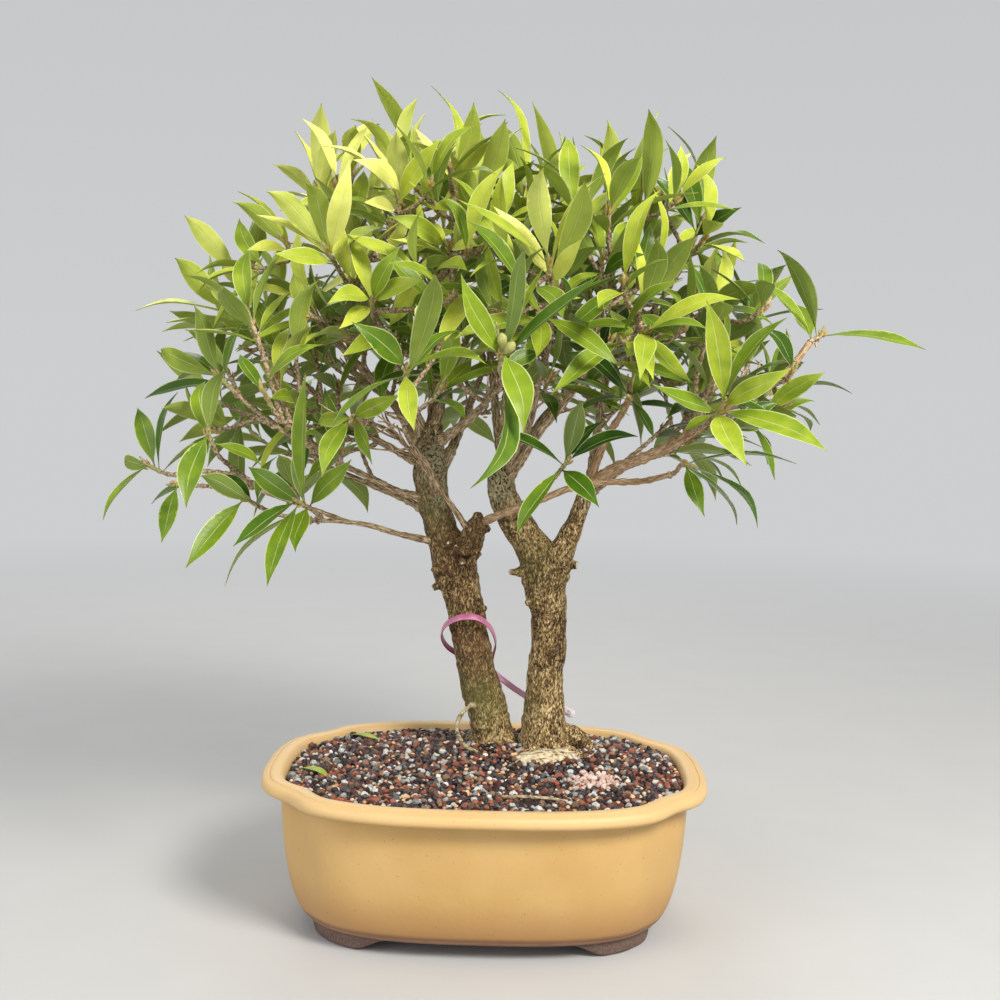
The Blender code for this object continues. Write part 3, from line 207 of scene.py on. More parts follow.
# Shoots of the photographed side: branch, tip of the shoot, then each leaf's own tip as seen from the shoot's
# tip, with the width that it shows to the front
SHOOTS = {
    "far_left_tip": ("far_low", (-192, -22, 259), [
        (-23, -10, -29, 7), (-7, -25, 5, 7), (-8, 13, 32, 13), (15, -3, 41, 7), (37, -6, 15, 5)]),
    "far_left_drop": ("far_low", (-172, -34, 249), [(-1, -21, -29, 12), (-2, 26, 30, 14), (-18, 9, -8, 6)]),
    "left_near_drop": ("far_low", (-148, -62, 279), [
        (-6, -29, -35, 16), (11, -17, 37, 6), (-12, 24, 29, 12), (25, 21, -16, 7)]),
    "left_arm": ("left_second", (-150, -34, 310), [
        (-25, -33, 14, 10), (-3, -19, 37, 8), (9, 19, 29, 8), (-44, 9, -16, 10), (-30, 11, 16, 7)]),
    "left_fan_tip": ("left_upper", (-147, 2, 345), [
        (-27, -32, 31, 15), (-30, 7, 25, 7), (-48, -33, 3, 5), (16, -12, 30, 9), (-34, -27, -8, 4),
        (-30, 4, -16, 5)]),
    "left_fan_top": ("left_upper", (-146, 8, 367), [
        (-24, -28, 31, 14), (15, -16, 33, 9), (1, 10, 35, 5), (-6, -18, 6, 6)]),
    "left_inner": ("left_second", (-118, -72, 303), [
        (30, -18, 24, 8), (-7, -16, 5, 6), (-17, 16, 18, 8), (14, 32, -6, 7)]),
    "left_low_big": ("left_low", (-132, -48, 244), [
        (-23, -32, -34, 13), (-20, -22, 16, 12), (-15, 13, 13, 7), (9, 27, 21, 8)]),
    "left_low_near": ("left_low", (-99, -72, 245), [
        (-26, -28, -22, 10), (-8, -39, -39, 11), (-1, -24, -21, 9), (-4, 18, 29, 9), (9, -24, 65, 8),
        (-30, 21, 17, 13), (32, -14, 20, 9), (-43, 7, -41, 5)]),
    "left_mid_near": ("left_twig", (-70, -84, 288), [
        (-12, -30, -24, 12), (-14, 21, -33, 5), (25, -19, 13, 6), (12, -16, -9, 7), (-21, 22, -1, 7)]),
    "centre_left_near": ("left_front", (-40, -112, 315), [
        (-20, -29, 19, 14), (39, -23, 7, 7), (4, -21, -29, 11), (-31, -33, -25, 6), (18, -39, 45, 6),
        (22, 21, 22, 9)]),
    "centre_near": ("left_thick", (7, -128, 323), [
        (14, -30, -32, 16), (-17, 24, 17, 11), (-23, -24, 31, 9), (6, -32, 48, 6), (43, -25, 31, 8),
        (-1, -45, -61, 8), (20, 15, 41, 6), (18, 24, 1, 10)]),
    "centre_right_low": ("cross", (41, -78, 270), [
        (6, -18, 31, 10), (16, 10, 21, 8), (33, -16, 16, 8), (-37, -18, 15, 7), (-28, -4, -37, 10),
        (15, -20, -20, 13)]),
    "right_low_tip": ("cross", (104, -66, 268), [
        (37, -36, -22, 6), (4, -21, -23, 10), (34, 22, -32, 5), (57, 8, 4, 5)]),
    "right_inner": ("right_front", (73, -54, 302), [
        (-31, -22, 27, 9), (8, 27, 19, 12), (-20, -27, -1, 5), (15, 13, -22, 7)]),
    "right_near": ("right_long", (116, -100, 301), [
        (-13, -29, 49, 14), (-11, 22, 46, 9), (27, -8, 43, 7), (26, -25, 13, 8), (46, -30, -18, 12),
        (5, -21, -26, 17), (-36, -21, 4, 9), (-17, 19, -15, 6)]),
    "right_end": ("right_long", (178, -30, 338), [
        (48, -31, -8, 5), (-29, -19, 47, 5), (-29, 19, 30, 6), (-12, 27, 20, 14)]),
    "right_end_low": ("right_long", (159, -54, 318), [(-16, -8, 24, 9), (16, -19, 12, 5), (-21, 25, -7, 7)]),
    "right_top_tip": ("right_rise", (115, -2, 401), [
        (10, -25, 40, 15), (-16, -14, 34, 13), (-4, 7, 55, 4), (-30, -17, 24, 10),
        (15, -25, 4, 7), (25, -31, -1, 4)]),
    "right_mid_near": ("right_front", (76, -72, 351), [
        (7, -28, 31, 13), (23, -26, 33, 9), (-5, 17, 40, 7), (16, -12, -17, 9), (-13, 15, -14, 8)]),
    "right_side_tip": ("right_rise", (122, -20, 355), [
        (-6, -17, 26, 10), (7, 12, 31, 10), (27, -26, 18, 4), (33, 12, 9, 4), (26, -23, -10, 7)]),
    "top_right_pale": ("right_rise", (81, -26, 404), [
        (-1, -29, 50, 9), (7, 11, 54, 5), (12, 9, 37, 6), (-6, 8, 43, 6), (-19, -20, -21, 12)]),
    "top_right_mid": ("right_rise", (60, -4, 411), [
        (3, -17, 40, 11), (-7, 9, 34, 12), (11, -20, 28, 4), (-15, 10, 40, 7), (-12, -27, 1, 8)]),
    "top_centre_right": ("centre_rise", (36, 14, 410), [
        (0, -15, 37, 8), (5, 7, 45, 5), (-15, 0, 57, 8)]),
    "top_centre": ("centre_rise", (15, 16, 419), [
        (-8, -18, 37, 9), (-3, 10, 63, 8), (-14, -14, 20, 7), (9, 10, 27, 7)]),
    "top_centre_front": ("centre_lean", (28, -92, 369), [
        (-8, -34, 41, 11), (-44, -27, 23, 8), (-2, -25, 8, 13), (17, -38, 35, 9), (24, 23, 48, 5),
        (-22, -16, 21, 10), (12, -26, 14, 5)]),
    "top_left_centre": ("left_rise", (-24, -20, 417), [
        (12, -28, 37, 9), (-5, 18, 55, 7), (14, -24, 31, 5), (-6, -16, 25, 8), (-15, 12, 28, 5)]),
    "top_left_second": ("left_rise", (-9, -36, 403), [
        (14, -34, 39, 8), (13, -26, 25, 7), (-1, -23, 23, 6), (11, 16, 5, 6), (-25, -22, -3, 7)]),
    "top_left": ("left_back_rise", (-46, 6, 430), [
        (-23, -33, 41, 5), (-20, -26, 23, 7), (2, 10, 32, 6), (13, -16, 13, 9), (-16, -20, 15, 8),
        (-8, 15, 19, 6)]),
    "top_left_front": ("left_fan", (-49, -48, 407), [
        (-19, -24, 15, 11), (-28, -36, 15, 4), (-5, -29, 24, 8), (20, -26, 24, 9), (-26, 23, 36, 6),
        (-17, -15, -7, 7)]),
    "left_crown_tip": ("left_fan", (-99, -20, 411), [
        (2, -25, 43, 10), (14, -23, 30, 6), (-17, -19, 15, 4), (-12, 14, 33, 5), (15, 12, 28, 5)]),
    "left_crown_front": ("left_fan", (-87, -62, 376), [
        (-21, -36, 27, 10), (-3, -26, 33, 9), (17, -27, 38, 10), (-14, -24, 4, 9), (-28, -23, 10, 7)]),
    "left_crown_side": ("left_high", (-116, -22, 384), [
        (-13, -21, 23, 8), (-24, 8, 28, 5), (-11, 12, 23, 8), (-15, -17, -8, 7), (-2, -14, -11, 7)]),
    "centre_left_top": ("left_rise", (-24, -58, 379), [
        (-23, -22, 17, 10), (-11, 18, 15, 9), (17, -17, -1, 6), (8, -21, 13, 8), (-23, -25, 2, 6),
        (-15, 16, -9, 8)]),
    "left_centre_inner": ("left_fan", (-61, -78, 349), [
        (-18, -27, 0, 8), (16, -24, 17, 7), (26, -21, 8, 8), (-13, 16, 34, 10), (-11, -17, -16, 8),
        (12, 22, -6, 7)]),
    "right_centre_inner": ("centre_slant", (57, -48, 375), [
        (-19, -27, 19, 7), (17, -28, 19, 6), (-6, 19, 30, 9), (-22, -18, -18, 7), (18, -21, 2, 7)]),
}
# Shoots of the far side, which grow their leaves by the spiral rule: branch, tip, number of leaves
BACK_SHOOTS = {
    "back_far_left": ("back_left_low", (-152, 82, 272), 6),
    "back_left_drop": ("back_left_low", (-112, 118, 250), 6),
    "back_left_mid": ("back_left", (-140, 92, 334), 6),
    "back_left_top": ("back_left", (-98, 78, 392), 6),
    "back_left_near": ("back_left", (-86, 124, 336), 6),
    "back_mid_low": ("back_mid", (-30, 134, 292), 6),
    "back_mid_high": ("back_mid", (-34, 112, 372), 6),
    "back_mid_right": ("back_mid", (20, 128, 330), 6),
    "back_top_left": ("back_top", (-30, 70, 424), 6),
    "back_top_right": ("back_top", (30, 68, 420), 6),
    "back_right_mid": ("back_right", (76, 116, 344), 6),
    "back_right_top": ("back_right", (88, 72, 390), 6),
    "back_right_end": ("back_right_low", (170, 64, 308), 6),
    "back_right_drop": ("back_right_low", (124, 108, 276), 6),
    "back_right_side": ("back_right_low", (150, 28, 352), 6),
}
BACK_SEED = 100
BACK_WAYS_SEED = 600
GOLDEN_TURN = math.radians(137.5)
TRIES = 60
STEM_BEND = 1.2
# A stem's curve: how far its second point is out of and along its branch and its third behind its tip, over
# its reach; it leaves square over STEM_SQUARE, is full thick from THICK_REACH on and keeps STEM_ROOM clear
STEM_OUT = 0.2
STEM_AHEAD = 0.15
STEM_BACK = 0.35
STEM_SQUARE = 1.5
SQUARE_SHARE = 0.1
STEM_CURVE_STEPS = 3
THICK_REACH = 60
BUD_TIP_RADIUS = 0.25
STEM_ROOM = 0.3
FOOT_ROOM = 0.05
# A leaf that finds no room moves down its stem by LEAF_SHIFT, then strays by LEAF_STRAY more after a round
LEAF_SHIFT = 1.3
LEAF_SHIFTS = 6
LEAF_STRAY = 0.035
LEAF_WIDEST = 1.15
# Leaves by the spiral rule: degrees from the axis of the youngest and what the oldest has more, how far they
# droop, and their lengths over LEAF_LENGTH
YOUNG_ANGLE = 30
OLDER_ANGLE = 50
LEAF_DROOP = 0.15
SPIRAL_LENGTHS = (0.75, 1.1)
# How much a leaf's upper side turns upwards, and the least share of its width that the front may show
NORMAL_UP = 0.5
LEAST_SPAN = 0.3
# A shoot's axis: weights of the way from its branch, of upwards and of each leaf's way
AXIS_AWAY = 1.2
AXIS_UP = 0.4
AXIS_LEAF = 0.6
# Stems leave their branch every PLACE_STEP, at least PLACE_ROOM apart
PLACE_STEP = 5.0
PLACE_ROOM = 4.5
PLACE_CHOICES = 5
# The cost of a place is its distance times this less the cosine of the turn that a stem makes there
TURN_COST = 1.7
# What a settled shoot's stem keeps free round itself
SETTLED_ROOM = 0.1
# Side shoots fill the crown's outside where it has most room: each tip is the best of TIP_CHOICES drawn ones
# between CROWN_INNER and 1 of the way out to the crown's oval, and its stem is SIDE_NEAR to SIDE_FAR long;
# SIDE_ATTEMPTS tips are drawn for each
CROWN_MIDDLE = (0, 15, 318)
CROWN_HALF = (172, 122, 108)
CROWN_INNER = 0.86
CROWN_LOWEST = -0.3
SIDE_SHOOTS = 9
SIDE_LEAVES = 5
SIDE_SEED = 41
SIDE_NEAR = 16
SIDE_FAR = 80
SIDE_TRIES = 10
SIDE_ATTEMPTS = 8
TIP_CHOICES = 60

# Loose pieces on the soil: leaf bases with their heading, twig middle line with its radius
LYING_LEAF_LENGTH = 24.0
LYING_LEAF_WIDTH = 8.0
LYING_LIFT = 0.9
LYING_TONE = 0.55
LYING_TWIG_SEED = 8
LYING_TWIG_STEP = 1.5
LYING_TWIG_SIDES = 8
LYING_LEAVES = {"fallen_leaf_left": (-107, -10, -0.6), "fallen_leaf_back": (-88, 62, -0.5)}
LYING_TWIG = [(10, -56, 0.0, 0.9), (22.6, -57.4, 0.8, 1.1), (35.2, -58.8, 0.9, 0.9), (46, -60, 0.0, 0.6)]

# Fine leaves: reach along the leaf and share of the half width
FINE_OUTLINE = [
    (0.0, 0.09), (0.05, 0.075), (0.1, 0.1), (0.15, 0.22), (0.21, 0.43), (0.29, 0.68), (0.38, 0.87),
    (0.48, 0.98), (0.58, 1.0), (0.68, 0.91), (0.77, 0.72), (0.84, 0.5), (0.9, 0.29), (0.95, 0.13),
    (1.0, 0.02),
]
# A fine leaf's width beside the solid's, and the number of its side veins
LEAF_SLIM = 0.84
LEAF_VEINS = 16.0
# Shoots whose leaves must not be edge-on: a normal's least share towards the camera, and the roll to it
OPEN_SHOOTS = ("right_end",)
EDGE_ON = 0.4
EDGE_ROLL = 0.45
# How far a fine leaf varies: its fold and its margin's waves over its half width, the rest over its length
LEAF_FOLD = (0.12, 0.42)
LEAF_WAVE = (0.0, 0.09)
LEAF_CURL = (-0.03, 0.16)
LEAF_SWAY = 0.05
LEAF_HOOK = 0.11
HOOK_START = 0.6
# The place across a leaf that its fold leaves level, and how fast its margin's waves follow along it
FOLD_LEVEL = 0.4
WAVE_RATE = 9
# Bending a leaf into the box: the least reach that carries the bend, and its power along the leaf
BEND_LEAST = 0.1
BEND_POWER = 1.5
# The least half width, and the least and greatest depth of the keel
LEAF_EDGE = 0.12
KEEL_DEPTH = (0.25, 0.55)
LEAF_CREASE = math.radians(75)
# A section's ring of points, across over its half width and down over the keel's depth; half of the faces
# between two rings are the upper side's, the others the underside's
RING_ACROSS = (-1.0, -0.55, 0.0, 0.55, 1.0, 0.55, 0.0, -0.55)
RING_BELOW = (0.0, 0.0, 0.0, 0.0, 0.0, 0.32, 0.75, 0.32)
RING_HALF = 4

# How yellow each photographed shoot's leaves are, from 0, deep green, to 1
TONES = {
    "far_left_tip": 0.35, "far_left_drop": 0.25, "left_near_drop": 0.42, "left_arm": 0.4,
    "left_fan_tip": 0.82, "left_fan_top": 0.82, "left_inner": 0.45, "left_low_big": 0.3,
    "left_low_near": 0.42, "left_mid_near": 0.5, "centre_left_near": 0.55, "centre_near": 0.42,
    "centre_right_low": 0.18, "right_low_tip": 0.25, "right_inner": 0.22, "right_near": 0.5,
    "right_end": 0.42, "right_end_low": 0.3, "right_top_tip": 0.38, "right_mid_near": 0.6,
    "right_side_tip": 0.66, "top_right_pale": 0.78, "top_right_mid": 0.64, "top_centre_right": 0.66,
    "top_centre": 0.74, "top_centre_front": 0.84, "top_left_centre": 0.78, "top_left_second": 0.85,
    "top_left": 0.85, "top_left_front": 0.95, "left_crown_tip": 0.95, "left_crown_front": 0.85,
    "left_crown_side": 0.8, "centre_left_top": 0.68, "left_centre_inner": 0.6, "right_centre_inner": 0.5,
}
# How a leaf's tone may differ from its shoot's, and the deepest tone
LEAF_TONE_SPREAD = (-0.26, 0.17)
TONE_LEAST = 0.02
# The tone of a shoot that isn't in the table: at CROWN_FOOT and the crown's middle, what it gains over
# CROWN_RISE upwards and CROWN_REACH outwards, what it loses over 100 mm to the right, and its spread
TONE_LOW = 0.09
TONE_UP = 0.56
TONE_OUT = 0.22
TONE_RIGHT = 0.05
TONE_SPREAD = 0.12
CROWN_FOOT = 240
CROWN_RISE = 200
CROWN_REACH = 160
# The crown's middle part from left to right
MIDDLE_PART = (-30, 40)
# Masses of foliage in which further shoots grow: middle, half sizes, number of shoots
MASSES = [
    ((-40, -5, 400), (74, 72, 40), 34), ((55, -5, 388), (70, 72, 42), 30),
    ((-112, 0, 342), (52, 76, 44), 22), ((10, -62, 345), (100, 44, 42), 26),
    ((108, -10, 335), (56, 74, 42), 20), ((0, 90, 345), (120, 38, 60), 26),
    ((-120, 20, 268), (60, 76, 28), 12), ((135, 20, 290), (52, 64, 28), 10),
    ((0, 20, 335), (90, 56, 36), 14), ((-20, -10, 412), (60, 50, 26), 18),
    ((62, -5, 398), (60, 50, 30), 16),
]
# The crown's outline in the photograph, in its pixels
CROWN_OUTLINE = [
    (118, 470), (140, 400), (160, 345), (150, 300), (185, 255), (195, 225), (255, 205), (290, 165),
    (310, 105), (330, 135), (375, 100), (440, 92), (520, 95), (560, 130), (610, 128), (650, 112),
    (700, 130), (738, 150), (745, 215), (790, 290), (800, 345), (830, 380), (820, 430), (790, 450),
    (765, 500), (735, 505), (690, 490), (640, 450), (600, 430), (540, 425), (500, 440), (470, 420),
    (440, 430), (400, 450), (350, 480), (310, 490), (290, 545), (240, 560), (180, 545), (150, 500),
]
# Seeds of a shoot's looks, after the solids' numbers, and of the tones
SIDE_LOOKS = 500
INNER_LOOKS = 900
TONE_SEED = 3
# Inner shoots: their tips' least distance apart and their stems' reach; a mass draws INNER_ATTEMPTS tips for
# each of its shoots, spread from its middle by a power, and their axes turn up by INNER_RISE
INNER_SEED = 77
INNER_ROOM = 15.0
INNER_NEAR = 9.0
INNER_FAR = 70.0
INNER_LEAVES = 7
INNER_LEAST = 2
INNER_MARGIN = 1.5
INNER_TRIES = 6
INNER_ATTEMPTS = 9
INNER_RISE = 0.35
INNER_SPREAD = 0.45
# Their leaves' lengths beside the spiral rule's, and how far their stems turn green
INNER_LENGTHS = (0.8, 1.0)
INNER_GREEN = 0.8

# Camera, found from the pot's rim and feet in the photograph
PHOTO_SIZE = 1000
SENSOR = 36.0
LENS = 48.5108
CAMERA_PLACE = Vector((16.427, -767.72, 309.116))
CAMERA_AIM = Vector((4.8, 29.13, 239.1))
CAMERA_ROLL = 1.229


def origin():
    low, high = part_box("pot")
    return Vector(((low.x + high.x) / 2, (low.y + high.y) / 2, low.z)) / MM


ORIGIN = origin()


# Meshes


def new_mesh(name, points, faces, smooth=True):
    mesh = bpy.data.meshes.new(name)
    places = (np.asarray(points, dtype=float).reshape(-1, 3) + np.array(ORIGIN)) * MM
    mesh.from_pydata(places.tolist(), [], [tuple(int(v) for v in face) for face in faces])
    if smooth:
        mesh.shade_smooth()
    return mesh


def new_object(name, mesh):
    item = bpy.data.objects.new(name, mesh)
    bpy.context.scene.collection.objects.link(item)
    return item


def add_values(mesh, domain, values):
    """Named numbers on a mesh's points or faces, for its materials."""
    for name, numbers in values.items():
        layer = mesh.attributes.new(name, "FLOAT", domain)
        layer.data.foreach_set("value", np.asarray(numbers, dtype=np.float32))


def append_shape(points, faces, more_points, more_faces):
    """Adds a shape's points and faces to the lists of a mesh."""
    first = len(points)
    points += more_points
    faces += [tuple(first + v for v in face) for face in more_faces]


def finish_piece(item, nodes=()):
    """Nothing moves, so every piece rides on the root; nodes are the solids that it stands for."""
    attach(item, "root")
    if nodes:
        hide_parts(*nodes)


def add_piece(name, points, faces, material, nodes=(), values=None, crease=None):
    """A piece of one material, with named values on its points and, beyond the crease angle, sharp edges."""
    mesh = new_mesh(name, points, faces)
    add_values(mesh, "POINT", values or {})
    mesh.materials.append(material)
    if crease:
        mesh.set_sharp_from_angle(angle=crease)
    finish_piece(new_object(name, mesh), nodes)


def boolean(item, others, operation):
    """Joins or cuts item with the other objects, which are then removed."""
    group = bpy.data.collections.new("operands")
    for other in others:
        group.objects.link(other)
    modifier = item.modifiers.new("boolean", "BOOLEAN")
    modifier.operation = operation
    modifier.operand_type = "COLLECTION"
    modifier.collection = group
    modifier.solver = "EXACT"
    apply_modifiers(item)
    for other in others:
        bpy.data.objects.remove(other, do_unlink=True)
    bpy.data.collections.remove(group)
    return item


def apply_modifiers(item):
    graph = bpy.context.evaluated_depsgraph_get()
    mesh = bpy.data.meshes.new_from_object(item.evaluated_get(graph))
    item.modifiers.clear()
    item.data = mesh


# Shapes shared with the solids


def quarter_angles(fine):
    """Polar angles of a quarter of the outline, closer together at the notch; fine divides each step."""
    steps = [math.radians(angle) for angle in QUARTER_STEPS] + [math.pi / 2]
    return [low + (high - low) * i / fine for low, high in zip(steps, steps[1:]) for i in range(fine)]


def rim_outline(inset, notch_share, fine=1):
    """The lobed oval moved inwards by inset, counter-clockwise from +X."""
    quarter = quarter_angles(fine)
    mirrored = [math.pi - angle for angle in reversed(quarter[1:] + [math.pi / 2])]
    angles = quarter + mirrored
    angles += [math.pi + angle for angle in angles]
    points = []
    for angle in angles:
        c, s = math.cos(angle), math.sin(angle)
        oval = (abs(c / POT_HALF_LENGTH) ** POT_ROUNDNESS + abs(s / POT_HALF_WIDTH) ** POT_ROUNDNESS)
        offset = (math.asin(min(abs(s), 1.0)) - NOTCH_ANGLE) / NOTCH_WIDTH
        reach = oval ** (-1 / POT_ROUNDNESS) - notch_share * NOTCH_DEPTH * math.exp(-offset * offset)
        points.append(Vector((c * reach, s * reach, 0)))
    moved = []
    for i, point in enumerate(points):
        along = points[(i + 1) % len(points)] - points[i - 1]
        moved.append(point - inset * Vector((along.y, -along.x, 0)).normalized())
    return moved


def ring_faces(first, second, count):
    return [(first + i, first + (i + 1) % count, second + (i + 1) % count, second + i) for i in range(count)]


def tube_faces(rings, count):
    """The sides and both ends of a closed tube of rings with count points each."""
    faces = []
    for i in range(rings - 1):
        faces += ring_faces(i * count, (i + 1) * count, count)
    return faces + [tuple(reversed(range(count))), tuple(range((rings - 1) * count, rings * count))]


def way_at(path, i):
    """The path's direction at its i-th point."""
    return (path[min(i + 1, len(path) - 1)] - path[max(i - 1, 0)]).normalized()


def curve_point(base, crown, tip, reach):
    """A point of the curve from base to tip that bends towards crown."""
    return (1 - reach) ** 2 * base + 2 * reach * (1 - reach) * crown + reach * reach * tip


def soil_height(x, y):
    dx = (x - MOUND_CENTRE[0]) / MOUND_SPREAD[0]
    dy = (y - MOUND_CENTRE[1]) / MOUND_SPREAD[1]
    return SOIL_RIM + MOUND_HEIGHT * math.exp(-dx * dx - dy * dy)


def tube(points, radii, sides, draw=None):
    """A closed tube along points; its frame is carried from one point to the next without a twist."""
    rows = []
    along = (points[1] - points[0]).normalized()
    side = along.cross(UP if abs(along.z) < 0.8 else Vector((1, 0, 0))).normalized()
    for i, point in enumerate(points):
        along = way_at(points, i)
        side = (side - along * side.dot(along)).normalized()
        other = along.cross(side)
        for k in range(sides):
            turn = 2 * math.pi * k / sides
            radius = radii[i] * (1 + (draw.uniform(-KNOT_NOISE, KNOT_NOISE) if draw else 0.0))
            rows.append(point + radius * (math.cos(turn) * side + math.sin(turn) * other))
    return rows, tube_faces(len(points), sides)


def bezier(p0, p1, p2, p3, share):
    rest = 1 - share
    return rest ** 3 * p0 + 3 * rest * rest * share * p1 + 3 * rest * share * share * p2 + share ** 3 * p3


def random_way(draw):
    return Vector((draw.gauss(0, 1), draw.gauss(0, 1), draw.gauss(0, 1))).normalized()


def random_push(draw, size):
    return Vector((draw.uniform(-size, size), draw.uniform(-size, size), draw.uniform(-size, size)))


Place = namedtuple("Place", "point ahead radius shoot")
Shoot = namedtuple("Shoot", "name points radii place leaves")


class Neighbours:
    """The pieces already placed, to keep new ones clear of them."""

    def __init__(self):
        self.placed = []

    def add(self, points, faces):
        self.placed.append((box_of(points), BVHTree.FromPolygons(points, faces)))

    def clear(self, points, faces):
        low, high = box_of(points)
        tree = None
        for (other_low, other_high), other in self.placed:
            if all(low[k] < other_high[k] and high[k] > other_low[k] for k in range(3)):
                tree = tree or BVHTree.FromPolygons(points, faces)
                if tree.overlap(other):
                    return False
        return True


def box_of(points):
    return ([min(p[k] for p in points) for k in range(3)], [max(p[k] for p in points) for k in range(3)])


def leaf_normal(direction, axis, shown, width):
    """The upper side's direction: towards the shoot's axis, turned to show the width in front."""
    natural = axis + NORMAL_UP * UP
    natural = (natural - direction * natural.dot(direction)).normalized()
    if shown is None:
        return natural
    facing = FRONT - direction * FRONT.dot(direction)
    span = facing.length
    facing.normalize()
    across = direction.cross(facing)
    cosine = min(1.0, shown / (width * max(span, LEAST_SPAN)))
    sine = math.sqrt(1 - cosine * cosine)
    choices = [facing * c + across * s for c in (cosine, -cosine) for s in (sine, -sine)]
    return max(choices, key=lambda n: n.dot(natural))


def leaf(base, tip, normal, width, grow=0.0, start=0.0):
    """A closed leaf: a flat upper side and a keel under it, arched towards its upper side."""
    direction = tip - base
    length = direction.length
    crown = base + direction * 0.5 + normal * length * LEAF_ARCH * 2
    across = direction.normalized().cross(normal).normalized()
    points = []
    for reach, share in LEAF_SECTIONS:
        reach = max(reach, start)
        middle = curve_point(base, crown, tip, reach)
        half = (PETIOLE_WIDTH + (width - PETIOLE_WIDTH) * share) / 2 + grow
        keel = LEAF_THICKNESS + (PETIOLE_WIDTH - LEAF_THICKNESS) * (1 - share) * (reach < 0.2)
        points.append(middle + across * half + normal * grow)
        points.append(middle - normal * (keel + grow))
        points.append(middle - across * half + normal * grow)
    points.append(tip + direction.normalized() * grow)
    faces = []
    for i in range(len(LEAF_SECTIONS) - 1):
        faces += ring_faces(3 * i, 3 * i + 3, 3)
    end = len(points) - 1
    faces += [(2, 1, 0), (end - 3, end - 2, end), (end - 2, end - 1, end), (end - 1, end - 3, end)]
    return points, faces


def nudged(vector, amount, draw):
    """The vector turned by up to amount radians."""
    push = random_push(draw, 1) * vector.length * amount
    return (vector + push).normalized() * vector.length


def places_along(points, radii, shoot=None):
    """Places from which a stem can leave a branch or the named shoot's stem."""
    places = []
    for first, last, thick, thin in zip(points, points[1:], radii, radii[1:]):
        ahead = (last - first).normalized()
        count = max(1, round((last - first).length / PLACE_STEP))
        places += [Place(first.lerp(last, i / count), ahead, thick + (thin - thick) * i / count, shoot)
                   for i in range(count)]
    return places


def branch_places(branch):
    """A branch's places; the last is its end, which has no radius."""
    rows = BRANCHES[branch][1:]
    points = [Vector(row[:3]) for row in rows]
    places = places_along(points, [row[3] for row in rows])
    places.append(Place(points[-1], (points[-1] - points[-2]).normalized(), None, None))
    return places


def best_places(places, tip, used):
    """The free places, the one that leads best to the tip first."""
    def cost(place):
        away = tip - place.point
        return away.length * (TURN_COST - away.normalized().dot(place.ahead))

    def is_free(place):
        return all((place.point - other).length > PLACE_ROOM for other in used)
    return sorted(filter(is_free, places), key=cost)[:PLACE_CHOICES]


def stem_route(place, tip, axis, bend):
    """Points of a stem to its bud, from just off its branch or from inside the stem that it forks from.

    The second point keeps the start square to what it leaves.
    """
    away = tip - place.point
    if place.radius is None:
        start, outwards = place.point + place.ahead * GAP, place.ahead
    else:
        outwards = (away - place.ahead * away.dot(place.ahead)).normalized()
        start = place.point + outwards * (place.radius + GAP)
    reach = (tip - start).length
    first = start + outwards * reach * STEM_OUT + place.ahead * reach * STEM_AHEAD + bend
    second = tip - axis * reach * STEM_BACK
    steps = STEM_CURVE_STEPS
    points = [bezier(start, first, second, tip, i / steps) for i in range(steps + 1)]
    points.insert(1, start + outwards * min(STEM_SQUARE, reach * SQUARE_SHARE))
    if place.shoot is not None:
        points[0] = place.point.copy()
    points.append(tip + axis * BUD_LENGTH)
    thick = STEM_TIP_RADIUS + (STEM_RADIUS - STEM_TIP_RADIUS) * min(1.0, reach / THICK_REACH)
    count = len(points)
    radii = [thick + (STEM_TIP_RADIUS - thick) * i / (count - 2) for i in range(count - 1)]
    radii.append(BUD_TIP_RADIUS)
    return points, radii


def place_stem(places, tip, axis, used, neighbours, tries, draw):
    """The first place and bend that keep a stem clear of all that is placed."""
    for attempt in range(tries):
        for place in best_places(places, tip, used):
            bend = random_push(draw, attempt * STEM_BEND)
            points, radii = stem_route(place, tip, axis, bend)
            free = neighbours.clear(*tube(points[1:], [r + STEM_ROOM for r in radii[1:]], STEM_SIDES))
            if free and place.shoot is None:
                free = neighbours.clear(*tube(points, [r + FOOT_ROOM for r in radii], STEM_SIDES))
            if free:
                return points, radii, place
    return None


def down_stem(points, distance):
    """The place on the stem at a distance below its tip; the last point is the bud's."""
    for upper, lower in zip(points[-2:0:-1], points[-3::-1]):
        length = (upper - lower).length
        if distance <= length:
            return upper.lerp(lower, distance / length)
        distance -= length
    return points[1]


def place_leaf(stem, first, way, axis, shown, neighbours, own, tries, draw):
    """Base, tip, normal and width of a leaf clear of the other pieces; None if it finds no room.

    It starts about first below the stem's tip, and its own tip keeps its place where it can.
    """
    for attempt in range(tries):
        base = down_stem(stem, first + LEAF_SHIFT * (attempt % LEAF_SHIFTS))
        reach = nudged(stem[-2] + way - base, LEAF_STRAY * (attempt // LEAF_SHIFTS), draw)
        width = LEAF_WIDTH * min(LEAF_WIDEST, math.sqrt(reach.length / LEAF_LENGTH))
        width = max(width, shown or 0.0)
        normal = leaf_normal(reach.normalized(), axis, shown, width)
        wide, faces = leaf(base, base + reach, normal, width, CLEARANCE / 2, STALK_START)
        if neighbours.clear(wide, faces) and own.clear(wide, faces):
            own.add(wide, faces)
            return base, base + reach, normal, width
    return None


